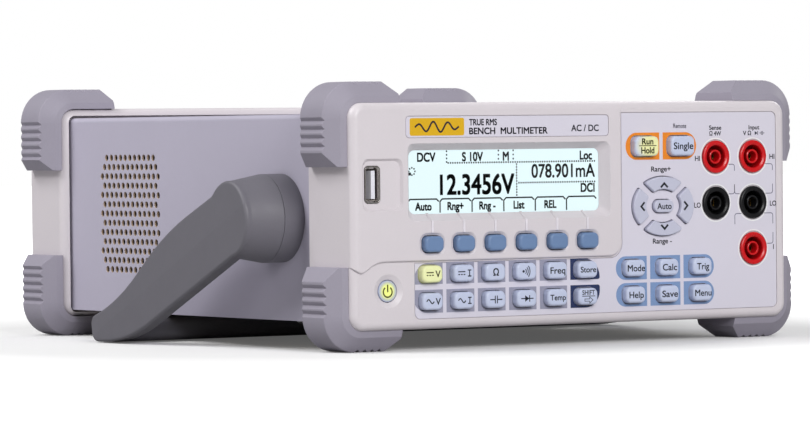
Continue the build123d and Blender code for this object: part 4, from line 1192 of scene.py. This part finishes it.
def floor():
    """Large pale floor: its shadows are real, and away from the object it fades to plain white."""
    low, high = cad_box
    mesh = bpy.data.meshes.new("floor")
    corners = [(x * FLOOR_HALF, y * FLOOR_HALF, low.z) for x, y in ((-1, -1), (1, -1), (1, 1), (-1, 1))]
    mesh.from_pydata(corners, [], [(0, 1, 2, 3)])
    obj = bpy.data.objects.new("floor", mesh)
    bpy.context.scene.collection.objects.link(obj)
    material, tree, surface = start_material("pale_floor")
    path = tree.nodes.new("ShaderNodeLightPath")
    pale = mix(tree, noise(tree, 60, 3), grey(FLOOR_PALE[0]), grey(FLOOR_PALE[1]))
    seen_or_not = mix(tree, path.outputs["Is Camera Ray"], grey(FLOOR_BOUNCE), pale)
    tree.links.new(seen_or_not, surface.inputs["Base Color"])
    surface.inputs["Roughness"].default_value = 0.8
    surface.inputs["Specular IOR Level"].default_value = 0.0
    distance = tree.nodes.new("ShaderNodeVectorMath")
    distance.operation = "LENGTH"
    tree.links.new(place(tree), distance.inputs[0])
    reach = (high - low).length / 2
    haze = remap(tree, distance.outputs["Value"], reach, 3 * reach, HAZE, 1.0)
    surface.inputs["Emission Color"].default_value = grey(1)
    seen_haze = product(tree, haze, path.outputs["Is Camera Ray"])
    tree.links.new(seen_haze, surface.inputs["Emission Strength"])
    mesh.materials.append(material)


# The camera looks past the left side of the case at the front panel, almost level.
VIEW_TURN = 33.0              # degrees the camera stands round to the left
VIEW_RISE = 1.01              # degrees it stands above level
VIEW_ROLL = -0.6
VIEW_DISTANCE = 2.0465        # metres from the aim point
VIEW_SHIFT = (0.00705, -0.00467, -0.0043)   # aim point from the middle of the box
LENS = 211.7                  # millimetres, on a 36 mm wide sensor


def camera():
    """A long lens from the front left."""
    low, high = cad_box
    aim = (low + high) / 2 + Vector(VIEW_SHIFT)
    turn, rise = math.radians(VIEW_TURN), math.radians(VIEW_RISE)
    back = Vector((-math.sin(turn) * math.cos(rise), -math.cos(turn) * math.cos(rise), math.sin(rise)))
    data = bpy.data.cameras.new("camera")
    data.lens = LENS
    data.sensor_width = 36.0
    data.clip_end = 50.0
    eye = bpy.data.objects.new("camera", data)
    facing = (-back).to_track_quat("-Z", "Y").to_matrix().to_4x4()
    roll = Matrix.Rotation(math.radians(VIEW_ROLL), 4, "Z")
    eye.matrix_world = Matrix.Translation(aim + back * VIEW_DISTANCE) @ facing @ roll
    bpy.context.scene.collection.objects.link(eye)
    bpy.context.scene.camera = eye


# ---- build ----------------------------------------------------------------------------------------

dress_frame()
film_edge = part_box("panel_films")[1].x / MM
film_front = surface_depth("panel_films", film_edge - 2, centre_of("key_auto").z)
function_cells(film_front)
menu_cells(film_front)
run_cells(film_front)
key_legends()
panel_words(film_front)
jack_brackets(film_front)
jack_rings(film_front)
name_strip()
display()
studio()
floor()
camera()
bpy.context.scene.view_settings.view_transform = "Standard"
